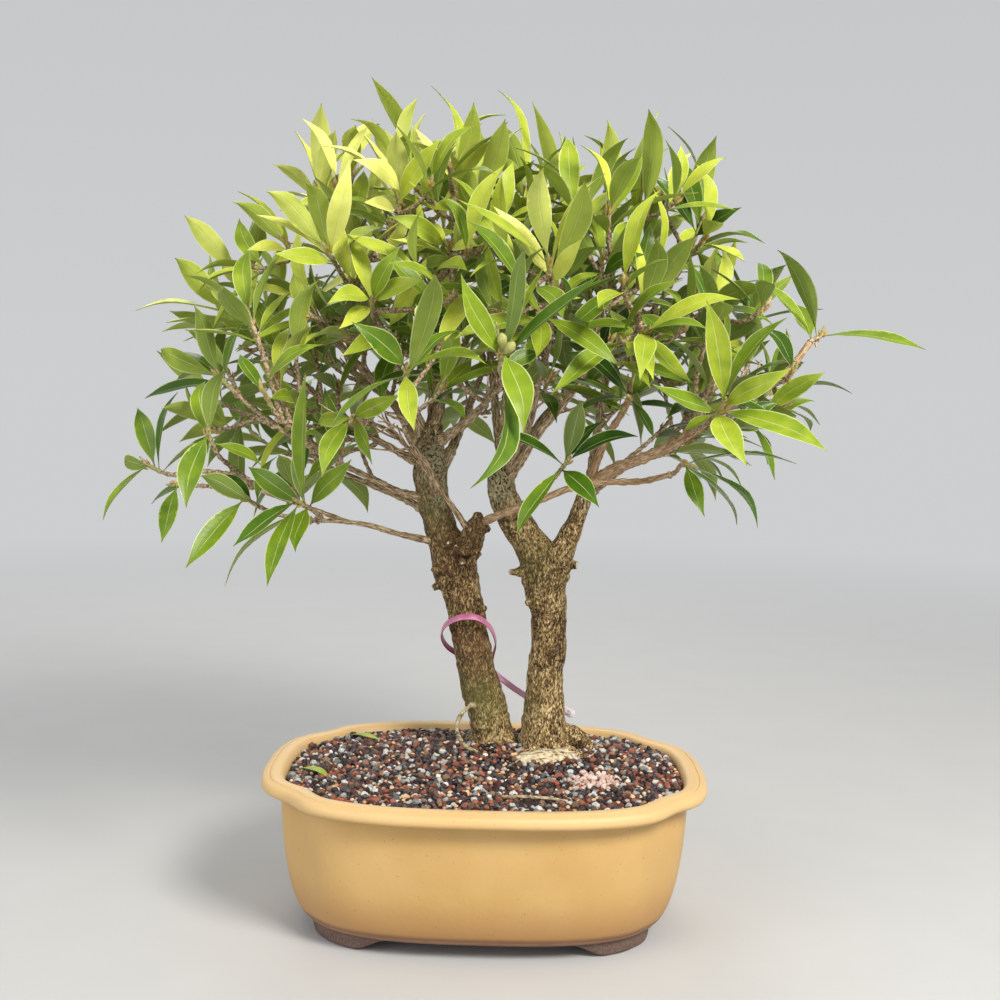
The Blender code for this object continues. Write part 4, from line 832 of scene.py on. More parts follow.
def spiral_leaves(axis, count, draw):
    """Leaf directions by the golden turn, the youngest near the axis."""
    side = axis.cross(UP if abs(axis.z) < 0.9 else Vector((0, 1, 0))).normalized()
    other = axis.cross(side)
    start = draw.uniform(0, 2 * math.pi)
    ways = []
    for i in range(count):
        turn = start + i * GOLDEN_TURN
        open_angle = math.radians(YOUNG_ANGLE + OLDER_ANGLE * i / max(count - 1, 1))
        way = (axis * math.cos(open_angle)
               + (side * math.cos(turn) + other * math.sin(turn)) * math.sin(open_angle))
        way.z -= LEAF_DROOP * i / count
        ways.append(way.normalized() * LEAF_LENGTH * draw.uniform(*SPIRAL_LENGTHS))
    return ways


def shoot_axis(ways, places, tip):
    """A shoot points where most of its leaves do, and away from its branch."""
    start = best_places(places, tip, [])[0].point
    total = (tip - start).normalized() * AXIS_AWAY + UP * AXIS_UP
    for way in ways:
        total += way.normalized() * AXIS_LEAF
    return total.normalized()


def grow_shoot(name, places, tip, axis, ways, shown, neighbours, used, tries, draw):
    """A shoot with the leaves that find room; None where its stem finds no way."""
    route = place_stem(places, tip, axis, used, neighbours, tries, draw)
    if route is None:
        return None
    points, radii, place = route
    own = Neighbours()
    own.add(*tube(points, radii, STEM_SIDES))
    leaves = []
    for i, way in enumerate(ways):
        placed = place_leaf(points, 1.0 + i * LEAF_SPACING, way, axis, shown[i], neighbours, own, tries, draw)
        if placed:
            leaves.append(placed)
    return Shoot(name, points, radii, place, leaves)


def settle(shoot, used, neighbours):
    """Adds a grown shoot to what later ones keep clear of."""
    used.append(shoot.place.point)
    neighbours.add(*tube(shoot.points, [r + SETTLED_ROOM for r in shoot.radii], STEM_SIDES))
    for placed in shoot.leaves:
        neighbours.add(*leaf(*placed))


def grow_named_shoots(neighbours):
    """The shoots of the two tables, and the places that their stems use."""
    plans = []
    for seed, (name, (branch, tip, rows)) in enumerate(SHOOTS.items()):
        ways = [Vector(row[:3]) for row in rows]
        plans.append((name, branch, Vector(tip), ways, [row[3] for row in rows], seed))
    for number, (name, (branch, tip, count)) in enumerate(BACK_SHOOTS.items()):
        axis = shoot_axis([], branch_places(branch), Vector(tip))
        ways = spiral_leaves(axis, count, random.Random(BACK_WAYS_SEED + number))
        plans.append((name, branch, Vector(tip), ways, [None] * count, BACK_SEED + number))
    shoots, used = [], []
    for name, branch, tip, ways, shown, seed in plans:
        places = branch_places(branch)
        axis = shoot_axis(ways, places, tip)
        shoot = grow_shoot(name, places, tip, axis, ways, shown, neighbours, used, TRIES, random.Random(seed))
        settle(shoot, used, neighbours)
        shoots.append(shoot)
    return shoots, used


def roomiest_tip(tips, draw):
    """The place near the crown's outside that is furthest from the other tips, out of some drawn ones."""
    drawn = []
    while len(drawn) < TIP_CHOICES:
        way = random_way(draw)
        reach = draw.uniform(CROWN_INNER, 1)
        if way.z > CROWN_LOWEST:
            drawn.append(Vector([m + w * h * reach for m, w, h in zip(CROWN_MIDDLE, way, CROWN_HALF)]))
    return max(drawn, key=lambda tip: min((tip - other).length for other in tips))


def grow_side_shoots(shoots, used, neighbours):
    """Further shoots in the crown's gaps, each forked from an earlier one's stem, inside the crown's box."""
    draw = random.Random(SIDE_SEED)
    low, high = box_of([tip for shoot in shoots for base, tip, normal, width in shoot.leaves])
    places = []
    for shoot in shoots:
        places += places_along(shoot.points[1:-1], shoot.radii[1:-1], shoot.name)
    tips = [shoot.points[-2] for shoot in shoots]
    sides = []
    for attempt in range(SIDE_SHOOTS * SIDE_ATTEMPTS):
        tip = roomiest_tip(tips, draw)
        tips.append(tip)
        near = [place for place in places if SIDE_NEAR < (tip - place.point).length < SIDE_FAR]
        if not near:
            continue
        axis = shoot_axis([tip - Vector(CROWN_MIDDLE)], near, tip)
        ways = [way for way in spiral_leaves(axis, SIDE_LEAVES, draw)
                if all(low[k] < tip[k] + way[k] < high[k] for k in range(3))]
        shown = [None] * len(ways)
        shoot = grow_shoot(None, near, tip, axis, ways, shown, neighbours, used, SIDE_TRIES, draw)
        if shoot and len(shoot.leaves) > SIDE_LEAVES / 2:
            settle(shoot, used, neighbours)
            sides.append(shoot)
        if len(sides) == SIDE_SHOOTS:
            break
    return sides


def coarse_wood():
    """The wood node's own surface, against which the leafy shoots are placed."""
    draw = random.Random(KNOT_SEED)
    items = []
    for table, sides in ((TRUNKS, TRUNK_SIDES), (BRANCHES, BRANCH_SIDES)):
        for rows in table.values():
            points = [Vector(row[:3]) for row in rows]
            knots = draw if sides == TRUNK_SIDES else None
            verts, faces = tube(points, [row[3] for row in rows], sides, knots)
            mesh = bpy.data.meshes.new("coarse")
            mesh.from_pydata([tuple(c * MM for c in p) for p in verts], [], faces)
            items.append(new_object("coarse", mesh))
    return boolean(items[0], items[1:], "UNION")


def strap_shape():
    """Points and faces of the flat strip, its broad side facing the trunk that it goes round."""
    path = [Vector(p) for p in STRAP_PATH]
    points = []
    for i, point in enumerate(path):
        along = way_at(path, i)
        out = point - Vector(STRAP_LOOP_CENTRE) if i < STRAP_LOOP_POINTS else UP.cross(along)
        out = (out - along * out.dot(along)).normalized()
        across = along.cross(out)
        for a, b in ((-0.5, -0.5), (0.5, -0.5), (0.5, 0.5), (-0.5, 0.5)):
            points.append(point + across * STRAP_WIDTH * a + out * STRAP_THICKNESS * b)
    return points, tube_faces(len(path), 4)


# Further shoots


def crown_places():
    """The places on all branches above the trunks."""
    return [place for branch in BRANCHES if branch not in BURIED for place in branch_places(branch)]


def photo_axes():
    """The camera's right, upward and forward directions."""
    ahead = (CAMERA_AIM - CAMERA_PLACE).normalized()
    right = ahead.cross(UP).normalized()
    top = right.cross(ahead)
    roll = math.radians(CAMERA_ROLL)
    right = right * math.cos(roll) + top * math.sin(roll)
    return right, right.cross(ahead), ahead


def photo_pixel(point):
    """The pixel of the photograph at which a point shows."""
    right, top, ahead = photo_axes()
    away = point - CAMERA_PLACE
    scale = LENS / SENSOR * PHOTO_SIZE / away.dot(ahead)
    return PHOTO_SIZE / 2 + away.dot(right) * scale, PHOTO_SIZE / 2 - away.dot(top) * scale


def in_crown(point):
    """Whether a point shows inside the crown's outline in the photograph."""
    x, y = photo_pixel(point)
    crossings = 0
    for (x0, y0), (x1, y1) in zip(CROWN_OUTLINE, CROWN_OUTLINE[1:] + CROWN_OUTLINE[:1]):
        crossings += (y0 > y) != (y1 > y) and x < x0 + (y - y0) * (x1 - x0) / (y1 - y0)
    return crossings % 2 == 1


def grow_inner_shoots(shoots, used, neighbours):
    """The crown's remaining shoots, each from the nearest branch or stem."""
    draw = random.Random(INNER_SEED)
    low, high = cad_box()
    places = crown_places()
    for shoot in shoots:
        places += places_along(shoot.points[1:-1], shoot.radii[1:-1], shoot.name)
    tips = [shoot.points[-2] for shoot in shoots]
    grown = []
    for middle, half, count in MASSES:
        made = 0
        for attempt in range(count * INNER_ATTEMPTS):
            way = random_way(draw) * draw.random() ** INNER_SPREAD
            tip = Vector([m + w * h for m, w, h in zip(middle, way, half)])
            if made == count or not in_crown(tip) or any((tip - other).length < INNER_ROOM for other in tips):
                continue
            near = [place for place in places if INNER_NEAR < (tip - place.point).length < INNER_FAR]
            if not near:
                continue
            axis = shoot_axis([tip - Vector(CROWN_MIDDLE)], near, tip)
            axis = (axis + UP * INNER_RISE).normalized()
            ways = [w * draw.uniform(*INNER_LENGTHS) for w in spiral_leaves(axis, INNER_LEAVES, draw)]
            ways = [w for w in ways if in_crown(tip + w) and inside(tip + w, low, high, INNER_MARGIN)]
            shown = [None] * len(ways)
            shoot = grow_shoot(None, near, tip, axis, ways, shown, neighbours, used, INNER_TRIES, draw)
            if shoot and len(shoot.leaves) > INNER_LEAST:
                settle(shoot, used, neighbours)
                grown.append(shoot)
                tips.append(tip)
                made += 1
    return grown


def cad_box():
    """The solids' box in millimetres from the pot's middle."""
    return Vector(cad_bounds[0]) / MM - ORIGIN, Vector(cad_bounds[1]) / MM - ORIGIN


def inside(point, low, high, margin):
    return all(low[k] + margin < point[k] < high[k] - margin for k in range(3))


# Materials


class Graph:
    """A material's nodes, with a Principled shader."""

    def __init__(self, name, roughness=0.5):
        self.material = bpy.data.materials.new(name)
        self.material.use_nodes = True
        self.tree = self.material.node_tree
        self.shader = self.tree.nodes["Principled BSDF"]
        self.shader.inputs["Roughness"].default_value = roughness

    def add(self, kind, inputs=None, **settings):
        item = self.tree.nodes.new("ShaderNode" + kind)
        for key, value in settings.items():
            setattr(item, key, value)
        for key, value in (inputs or {}).items():
            self.feed(item.inputs[key], value)
        return item

    def feed(self, socket, value):
        if isinstance(value, bpy.types.NodeSocket):
            self.tree.links.new(value, socket)
        elif isinstance(value, tuple) and len(value) == 3 and socket.type == "RGBA":
            socket.default_value = (*value, 1.0)
        else:
            socket.default_value = value

    def value(self, name):
        return self.add("Attribute", attribute_name=name).outputs["Fac"]

    def math(self, operation, first, second=0.0, third=0.0):
        return self.add("Math", {0: first, 1: second, 2: third}, operation=operation).outputs[0]

    def sway(self, value, amount):
        """A share from 0 to 1 made to vary by half the amount either way."""
        return self.math("MULTIPLY", self.math("SUBTRACT", value, 0.5), amount)

    def step(self, value, low, high, start=0.0, end=1.0):
        """Goes smoothly from start at low to end at high."""
        inputs = {"Value": value, "From Min": low, "From Max": high, "To Min": start, "To Max": end}
        return self.add("MapRange", inputs, interpolation_type="SMOOTHSTEP").outputs[0]

    def mix(self, share, first, second):
        node = self.add("Mix", data_type="RGBA")
        for socket, value in zip((node.inputs[0], node.inputs[6], node.inputs[7]), (share, first, second)):
            self.feed(socket, value)
        return node.outputs[2]

    def ramp(self, value, stops):
        node = self.add("ValToRGB", {"Fac": value})
        steps = node.color_ramp.elements
        while len(steps) < len(stops):
            steps.new(0.5)
        for element, (place, colour) in zip(steps, stops):
            element.position = place
            element.color = (*colour, 1.0)
        return node.outputs["Color"]

    def place(self, scale=(1.0, 1.0, 1.0)):
        """Object coordinates in millimetres, scaled."""
        coords = self.add("TexCoord").outputs["Object"]
        return self.add("Mapping", {"Vector": coords, "Scale": tuple(s / MM for s in scale)}).outputs[0]

    def noise(self, size, scale=(1.0, 1.0, 1.0), detail=2.0, roughness=0.5):
        """Noise whose blotches are about size millimetres."""
        inputs = {"Vector": self.place(scale), "Scale": 1 / size, "Detail": detail, "Roughness": roughness}
        return self.add("TexNoise", inputs).outputs["Fac"]

    def streaks(self, size, detail=3.0, roughness=0.6):
        """Noise drawn out along a tube that fine_tube made."""
        ring = {0: self.value("ring_x"), 1: self.value("ring_y"), 2: self.value("along")}
        place = self.add("CombineXYZ", ring).outputs[0]
        inputs = {"Vector": place, "Scale": 1 / size, "Detail": detail, "Roughness": roughness}
        return self.add("TexNoise", inputs).outputs["Fac"]

    def colour(self, value):
        self.feed(self.shader.inputs["Base Color"], value)

    def rough(self, value):
        self.feed(self.shader.inputs["Roughness"], value)

    def bump(self, height, depth, strength=1.0):
        """A bump of depth millimetres."""
        inputs = {"Height": height, "Distance": depth * MM, "Strength": strength}
        self.feed(self.shader.inputs["Normal"], self.add("Bump", inputs).outputs[0])


def leaf_material():
    """Deep green to yellow by tone, with a pale rib and margin, a brown tip and slanting side veins."""
    g = Graph("fig_leaf")
    across = g.math("ABSOLUTE", g.value("across"))
    along = g.value("along")
    tone = g.math("ADD", g.value("tone"), g.sway(g.noise(9.0), 0.3))
    upper = g.ramp(tone, [
        (0.0, (0.018, 0.055, 0.004)), (0.25, (0.065, 0.14, 0.007)), (0.5, (0.2, 0.29, 0.014)),
        (0.75, (0.48, 0.54, 0.045)), (1.0, (0.84, 0.84, 0.21))])
    below = g.mix(0.45, upper, (0.33, 0.42, 0.11))
    blade = g.mix(g.value("under"), upper, below)
    rib = g.math("MULTIPLY", g.step(across, 0.02, 0.065, 0.9, 0.0), g.step(along, 0.75, 0.95, 0.7, 0.0))
    edge = g.step(across, 0.88, 0.97, 0.0, 0.9)
    pale = g.mix(0.5, blade, (0.86, 0.88, 0.46))
    marked = g.mix(g.math("MAXIMUM", rib, edge), blade, pale)
    g.colour(g.mix(g.step(along, 0.95, 1.0, 0.0, 0.55), marked, (0.27, 0.14, 0.045)))
    slant = g.math("SUBTRACT", g.math("MULTIPLY", along, LEAF_VEINS), across)
    vein = g.math("SINE", g.math("MULTIPLY", slant, FULL_TURN))
    depth = g.step(along, 0.6, 0.85, 0.04, 0.0)
    relief = g.math("ADD", g.math("MULTIPLY", rib, -1.0), g.math("MULTIPLY", vein, depth))
    g.bump(relief, 0.3)
    g.rough(g.step(tone, 0.1, 0.7, 0.28, 0.5))
    g.shader.inputs["Specular IOR Level"].default_value = 0.27
    return g.material


def stem_material():
    """Tan bark that turns green towards the shoot's tip."""
    g = Graph("young_stem", 0.65)
    age = g.math("ADD", g.value("along"), g.sway(g.noise(3.0), 0.4))
    tan = g.ramp(g.noise(1.3, detail=3.0), [
        (0.38, (0.15, 0.085, 0.045)), (0.5, (0.36, 0.25, 0.14)), (0.64, (0.6, 0.48, 0.32))])
    g.colour(g.mix(g.step(age, 0.72, 1.0, 0.0, 0.8), tan, (0.42, 0.44, 0.12)))
    g.bump(g.noise(0.8, detail=3.0), 0.3)
    return g.material


def bud_material():
    g = Graph("bud_scale", 0.45)
    g.colour(g.ramp(g.noise(2.5), [(0.35, (0.42, 0.2, 0.06)), (0.65, (0.5, 0.42, 0.12))]))
    return g.material


def trunk_material():
    """Brown bark with pits, lichen, a green tinge, washed roots and the pale wood of cut stubs."""
    g = Graph("trunk_bark", 0.85)
    fleck = g.noise(0.8, (1.0, 1.0, 0.4), 3.0, 0.62)
    worm = g.noise(1.7, (1.0, 1.0, 0.5))
    broad = g.sway(g.noise(13.0, (1.0, 1.0, 0.6)), 0.14)
    height = g.math("ADD", g.math("MULTIPLY", fleck, 0.8), g.math("MULTIPLY", worm, 0.2))
    relief = g.sway(g.value("relief"), 0.2)
    # The shade value is darker or lighter wood, and painted shade in the hollow beside the knuckle
    shade = g.math("ADD", g.math("ADD", height, relief), g.math("ADD", broad, g.value("shade")))
    bark = g.ramp(shade, [
        (0.37, (0.016, 0.007, 0.002)), (0.43, (0.1, 0.052, 0.016)), (0.485, (0.25, 0.155, 0.055)),
        (0.55, (0.46, 0.325, 0.135)), (0.64, (0.84, 0.67, 0.40))])
    warm = g.step(g.value("shade"), -0.04, -0.005, 0.35, 0.0)
    bark = g.mix(warm, bark, (0.2, 0.1, 0.04))
    cells = g.add("TexVoronoi", {"Vector": g.place((1.0, 1.0, 0.5)), "Scale": 1 / 2.3})
    pit = g.step(cells.outputs["Distance"], 0.16, 0.3, 0.9, 0.0)
    few = g.step(g.add("SeparateColor", {0: cells.outputs["Color"]}).outputs[0], 0.5, 0.56)
    pit = g.math("MULTIPLY", pit, few)
    pitted = g.mix(pit, bark, (0.012, 0.006, 0.003))
    green = g.mix(g.value("green"), pitted, (0.15, 0.15, 0.035))
    lichen = g.math("MULTIPLY", g.value("lichen"), g.step(g.noise(1.4), 0.46, 0.54, 0.0, 0.8))
    grey = g.mix(lichen, green, (0.43, 0.44, 0.29))
    root = g.ramp(g.noise(1.6, (0.35, 1.0, 1.0), 3.0), [
        (0.4, (0.2, 0.13, 0.06)), (0.47, (0.66, 0.53, 0.33)), (0.6, (0.86, 0.76, 0.55))])
    washed = g.mix(g.math("MULTIPLY", g.value("pale"), 0.85), grey, root)
    g.colour(g.mix(g.value("cut"), washed, (0.78, 0.68, 0.5)))
    g.bump(g.math("SUBTRACT", height, g.math("MULTIPLY", pit, 0.3)), 1.2)
    return g.material


def branch_material():
    """Streaky bark, warmer on some branches."""
    g = Graph("branch_bark", 0.8)
    broad = g.sway(g.noise(14.0), 0.25)
    streak = g.streaks(0.7)
    bark = g.ramp(g.math("ADD", streak, broad), [
        (0.34, (0.06, 0.034, 0.016)), (0.45, (0.26, 0.175, 0.09)), (0.54, (0.48, 0.36, 0.215)),
        (0.66, (0.78, 0.66, 0.46))])
    g.colour(g.mix(g.value("warm"), bark, g.mix(0.5, bark, (0.52, 0.28, 0.125))))
    g.bump(streak, 0.7)
    return g.material


def glaze_material():
    """Cream glaze: painted light on the lip, warmer downwards, darkest at its lower edge, finely specked."""
    g = Graph("cream_glaze", 0.5)
    cloud = g.noise(42.0, detail=3.0)
    base = g.ramp(cloud, [(0.3, (0.535, 0.325, 0.105)), (0.7, (0.60, 0.385, 0.145))])
    height = g.value("height")
    # Painted light: the lip is painted paler than the wall below it
    lip = g.mix(g.step(height, 80.0, 84.0, 0.0, 0.55), base, (0.76, 0.53, 0.26))
    # Warmer and darker downwards: the glaze's own tone and painted shade where the wall curves under
    warm = g.mix(g.step(height, 44.0, 15.0, 0.0, 0.75), lip, (0.42, 0.215, 0.075))
    lower_tone_and_shade = g.mix(g.step(height, 16.0, 12.6, 0.0, 0.85), warm, (0.2, 0.08, 0.03))
    speck = g.step(g.noise(1.3, detail=1.0), 0.72, 0.8, 0.0, 0.6)
    g.colour(g.mix(speck, lower_tone_and_shade, (0.22, 0.1, 0.035)))
    g.rough(g.step(cloud, 0.3, 0.7, 0.42, 0.56))
    g.bump(g.noise(3.0), 0.12)
    return g.material


def clay_material():
    g = Graph("bare_clay", 0.85)
    grain = g.noise(1.0, detail=3.0)
    base = g.ramp(grain, [(0.35, (0.105, 0.06, 0.046)), (0.65, (0.2, 0.13, 0.105))])
    band = g.mix(g.step(g.value("height"), 9.4, 10.4, 0.0, 0.8), base, (0.4, 0.22, 0.12))
    g.colour(g.mix(g.step(g.noise(15.0), 0.45, 0.65, 0.0, 0.35), band, (0.2, 0.12, 0.085)))
    g.bump(grain, 0.25)
    return g.material


def grain_material(name, dark, pale, roughness):
    """Grit between two colours, with painted shade where a grain turns down."""
    g = Graph(name, roughness)
    rough = g.noise(0.9, detail=3.0, roughness=0.65)
    shade = g.math("ADD", g.value("tone"), g.sway(rough, 0.7))
    grit = g.ramp(shade, [(0.1, dark), (0.9, pale)])
    # Points low on a grain are painted nearly black: painted shade in the gaps between the grains
    g.colour(g.mix(g.step(g.value("rise"), -0.35, 0.4, 0.9, 0.0), grit, (0.02, 0.01, 0.007)))
    g.bump(rough, 0.45)
    return g.material


def soil_material():
    g = Graph("soil_painted_shade", 0.95)
    grain = g.noise(2.0, detail=3.0)
    # Nearly black: painted shade in the gaps between the grains, where this soil shows
    g.colour(g.ramp(grain, [(0.35, (0.006, 0.003, 0.002)), (0.65, (0.03, 0.015, 0.01))]))
    g.bump(grain, 0.8)
    return g.material


def strap_material():
    g = Graph("pink_strap", 0.35)
    pink = g.ramp(g.noise(5.0), [(0.3, (0.52, 0.13, 0.28)), (0.7, (0.64, 0.21, 0.38))])
    # The tail is painted paler: painted light where the trunk shades it
    loop = g.mix(g.value("tail"), pink, (0.86, 0.42, 0.66))
    rim = g.mix(g.step(g.math("ABSOLUTE", g.value("across")), 0.38, 0.48, 0.0, 0.5), loop, (0.86, 0.5, 0.66))
    # The loop's side against the trunk is painted darker: painted shade
    inner = g.mix(g.value("inner"), rim, (0.38, 0.05, 0.14))
    # The tab is painted nearly white: painted light where the trunk shades it
    g.colour(g.mix(g.value("end"), inner, (0.88, 0.8, 0.9)))
    g.bump(g.noise(1.5), 0.05)
    return g.material


def screen_material():
    g = Graph("screen_plastic", 0.55)
    g.colour(g.ramp(g.noise(1.5), [(0.3, (0.012, 0.012, 0.012)), (0.7, (0.03, 0.03, 0.03))]))
    return g.material


def floor_material():
    """Pale paper that fades into the sky's tone far from the pot."""
    g = Graph("pale_floor", 0.75)
    paper = g.ramp(g.noise(60.0), [(0.2, (0.52, 0.52, 0.515)), (0.8, (0.54, 0.54, 0.535))])
    away = g.add("VectorMath", {0: g.add("TexCoord").outputs["Object"]}, operation="LENGTH").outputs["Value"]
    far = g.step(away, FLOOR_NEAR, FLOOR_FAR)
    g.colour(g.mix(far, paper, (0.0, 0.0, 0.0)))
    g.shader.inputs["Emission Color"].default_value = sky_colour(SKY_LOW)
    g.feed(g.shader.inputs["Emission Strength"], far)
    g.shader.inputs["Specular IOR Level"].default_value = 0.0
    return g.material


# Leaves and stems


class Batch:
    """Points, faces and their values gathered for one mesh."""

    def __init__(self):
        self.points, self.faces, self.slots = [], [], []
        self.point_values = {"across": [], "along": []}
        self.face_values = {"tone": [], "under": []}

    def add(self, points, faces, slot, across, along, tone, under):
        append_shape(self.points, self.faces, points, faces)
        self.slots += [slot] * len(faces)
        self.point_values["across"] += across
        self.point_values["along"] += along
        self.face_values["tone"] += [tone] * len(faces)
        self.face_values["under"] += under

    def add_tube(self, path, radii, sides, slot, along, tone):
        """A tube whose points all have one along value, or one each."""
        verts, faces = tube(path, radii, sides)
        count = len(verts)
        shares = along if isinstance(along, list) else [along] * count
        self.add([tuple(v) for v in verts], faces, slot, [0.0] * count, shares, tone, [0.0] * len(faces))

    def build(self, name, materials):
        mesh = new_mesh(name, self.points, self.faces)
        add_values(mesh, "POINT", self.point_values)
        add_values(mesh, "FACE", self.face_values)
        for material in materials:
            mesh.materials.append(material)
        mesh.polygons.foreach_set("material_index", self.slots)
        mesh.set_sharp_from_angle(angle=LEAF_CREASE)
        return new_object(name, mesh)


def bend_inside(rows, bounds):
    """The leaf's points, bent smoothly from its base so that none is outside the bounds."""
    reaches = np.repeat([row[0] for row in FINE_OUTLINE], len(RING_ACROSS))
    places = np.concatenate(rows)
    over = np.maximum(places - bounds[1], 0.0) - np.maximum(bounds[0] - places, 0.0)
    for axis in range(3):
        worst = int(np.argmax(np.abs(over[:, axis])))
        share = np.minimum(1.0, reaches / max(reaches[worst], BEND_LEAST)) ** BEND_POWER
        places[:, axis] -= over[worst, axis] * share
    return np.clip(places, bounds[0], bounds[1])


def turned_to_camera(base, tip, normal):
    """A leaf's normal, rolled a little where the photograph would show the leaf edge-on."""
    axis = (tip - base).normalized()
    view = (CAMERA_PLACE - tip).normalized()
    facing = (view - axis * view.dot(axis)).normalized()
    share = normal.dot(facing)
    if abs(share) > EDGE_ON:
        return normal
    return (normal + facing * math.copysign(EDGE_ROLL, share)).normalized()


def fine_leaf(batch, base, tip, normal, width, tone, draw, bounds):
    """A curved, folded leaf with a drawn-out tip, along the solids' leaf."""
    base, tip, normal = (np.array(v) for v in (base, tip, normal))
    direction = tip - base
    length = np.linalg.norm(direction)
    crown = base + direction * 0.5 + normal * length * LEAF_ARCH * 2
    side = np.cross(direction / length, normal)
    side /= np.linalg.norm(side)
    fold = draw.uniform(*LEAF_FOLD)
    curl = length * draw.uniform(*LEAF_CURL)
    sway = length * draw.uniform(-LEAF_SWAY, LEAF_SWAY)
    hook = length * draw.uniform(-LEAF_HOOK, LEAF_HOOK)
    wave = draw.uniform(*LEAF_WAVE)
    phase = draw.uniform(0, FULL_TURN)
    across = np.array(RING_ACROSS)
    below = np.array(RING_BELOW)
    rows = []
    for reach, share in FINE_OUTLINE:
        end = max(0.0, reach - HOOK_START) / (1 - HOOK_START)
        shift = side * (sway * math.sin(math.pi * reach) + hook * end ** 2)
        middle = curve_point(base, crown, tip, reach) + shift - normal * curl * end ** 2
        half = max(width * share * LEAF_SLIM / 2, LEAF_EDGE)
        lift = fold * (np.abs(across) - FOLD_LEVEL) * half
        lift = lift + wave * half * np.abs(across) ** 2 * np.sin(WAVE_RATE * reach + phase + across)
        keel = below * max(min(KEEL_DEPTH[1], half), KEEL_DEPTH[0])
        rows.append(middle + np.outer(across * half, side) + np.outer(lift - keel, normal))
    places = [tuple(place) for place in bend_inside(rows, bounds)]
    count = len(RING_ACROSS)
    sections = len(FINE_OUTLINE)
    faces = tube_faces(sections, count)
    reaches = [reach for reach, share in FINE_OUTLINE for k in range(count)]
    under = ([0.0] * RING_HALF + [1.0] * RING_HALF) * (sections - 1) + [0.0, 0.0]
    batch.add(places, faces, LEAF_SLOT, list(RING_ACROSS) * sections, reaches, tone, under)


def smooth_path(points, step):
    """Points about step apart on a smooth curve through the given ones, with their shares of its rows."""
    rows = [points[0] * 2 - points[1]] + list(points) + [points[-1] * 2 - points[-2]]
    path, places = [], []
    for i in range(1, len(rows) - 2):
        p0, p1, p2, p3 = rows[i - 1:i + 3]
        count = max(1, round((p2 - p1).length / step))
        for k in range(count):
            t = k / count
            path.append(0.5 * (2 * p1 + (p2 - p0) * t + (2 * p0 - 5 * p1 + 4 * p2 - p3) * t * t
                               + (3 * p1 - p0 - 3 * p2 + p3) * t ** 3))
            places.append(i - 1 + t)
    return path + [points[-1]], places + [len(points) - 1]


def along_rows(values, place):
    """The value at a place between rows."""
    low = min(int(place), len(values) - 2)
    return values[low] + (values[low + 1] - values[low]) * (place - low)


STEM_FINE_SIDES = 7
STEM_STEP = 1.6
STEM_SCALES = 4
# A fine stem's radius beside the solid's, at its foot in the branch, at every third ring and at random
STEM_SLIM = 0.92
STEM_FOOT = 1.5
STEM_KNOT = 0.3
STEM_UNEVEN = 0.08
# A bud scale: rise over the shoot's tip, distance from its axis, radius
SCALE_SHAPE = ((0.0, 0.0, 0.5), (2.2, 1.1, 0.75), (4.6, 1.5, 0.08))
SCALE_SIDES = 5
# How far below the shoot's tip the scales start, how much lower the last ones may and how far off the axis
SCALE_START = (0.5, 3.0)
SCALE_LOWER = 5.0
SCALE_OUT = 0.9
# Buds: share of the length or millimetres along the bud, radius; the shoots that have two round ones
BUD_SHAPE = ((-0.1, 1.0), (0.15, 1.25), (0.4, 1.2), (0.7, 0.75), (0.9, 0.35), (1.0, 0.08))
ROUND_BUD_SHAPE = ((-2.5, 0.9), (0.0, 1.7), (1.8, 2.6), (3.8, 2.5), (5.4, 1.3), (6.2, 0.2))
ROUND_BUDS = ("centre_near",)
# The two round buds' sides and rises, their place off the axis and their lean from it
ROUND_BUD_SIDES = ((-1, 2.0), (1, 4.5))
ROUND_BUD_OUT = 1.6
ROUND_BUD_LEAN = 0.35
# Places of the materials on a shoot's mesh
LEAF_SLOT = 0
STEM_SLOT = 1
BUD_SLOT = 2


def fine_stem(batch, shoot, tone, draw, green):
    """A knotty stem from inside its branch to its bud, with small brown scales at the bud."""
    points, radii = shoot.points, shoot.radii
    path, places = smooth_path([shoot.place.point] + points[1:-1], STEM_STEP)
    rows = [radii[0] * STEM_FOOT] + list(radii[1:-1])
    sizes = []
    for i, place in enumerate(places):
        knot = 1.0 + STEM_KNOT * (i % 3 == 0) + draw.uniform(-STEM_UNEVEN, STEM_UNEVEN)
        sizes.append(along_rows(rows, place) * knot * STEM_SLIM)
    shares = [green * (i // STEM_FINE_SIDES) / len(path) for i in range(len(path) * STEM_FINE_SIDES)]
    batch.add_tube(path, sizes, STEM_FINE_SIDES, STEM_SLOT, shares, tone)
    axis = (points[-1] - points[-2]).normalized()
    bud = [points[-2] + axis * BUD_LENGTH * reach for reach, radius in BUD_SHAPE]
    batch.add_tube(bud, [radius for reach, radius in BUD_SHAPE], STEM_FINE_SIDES, STEM_SLOT, 0.85, tone)
    for k in range(STEM_SCALES):
        side = axis.cross(random_push(draw, 1)).normalized()
        down = draw.uniform(SCALE_START[0], SCALE_START[1] + SCALE_LOWER * (k > 1))
        start = points[-2] - axis * down + side * SCALE_OUT
        scale = [start + axis * rise + side * out for rise, out, radius in SCALE_SHAPE]
        radii = [radius for rise, out, radius in SCALE_SHAPE]
        batch.add_tube(scale, radii, SCALE_SIDES, BUD_SLOT, 0.0, tone)


def round_buds(batch, shoot, tone):
    """Two swollen buds at the shoot's tip."""
    axis = (shoot.points[-1] - shoot.points[-2]).normalized()
    side = axis.cross(Vector((0, 1, 0))).normalized()
    for k, rise in ROUND_BUD_SIDES:
        start = shoot.points[-2] + side * k * ROUND_BUD_OUT + axis * rise
        way = (axis + side * k * ROUND_BUD_LEAN).normalized()
        path = [start + way * reach for reach, radius in ROUND_BUD_SHAPE]
        radii = [radius for reach, radius in ROUND_BUD_SHAPE]
        batch.add_tube(path, radii, STEM_FINE_SIDES, STEM_SLOT, 1.2, tone)


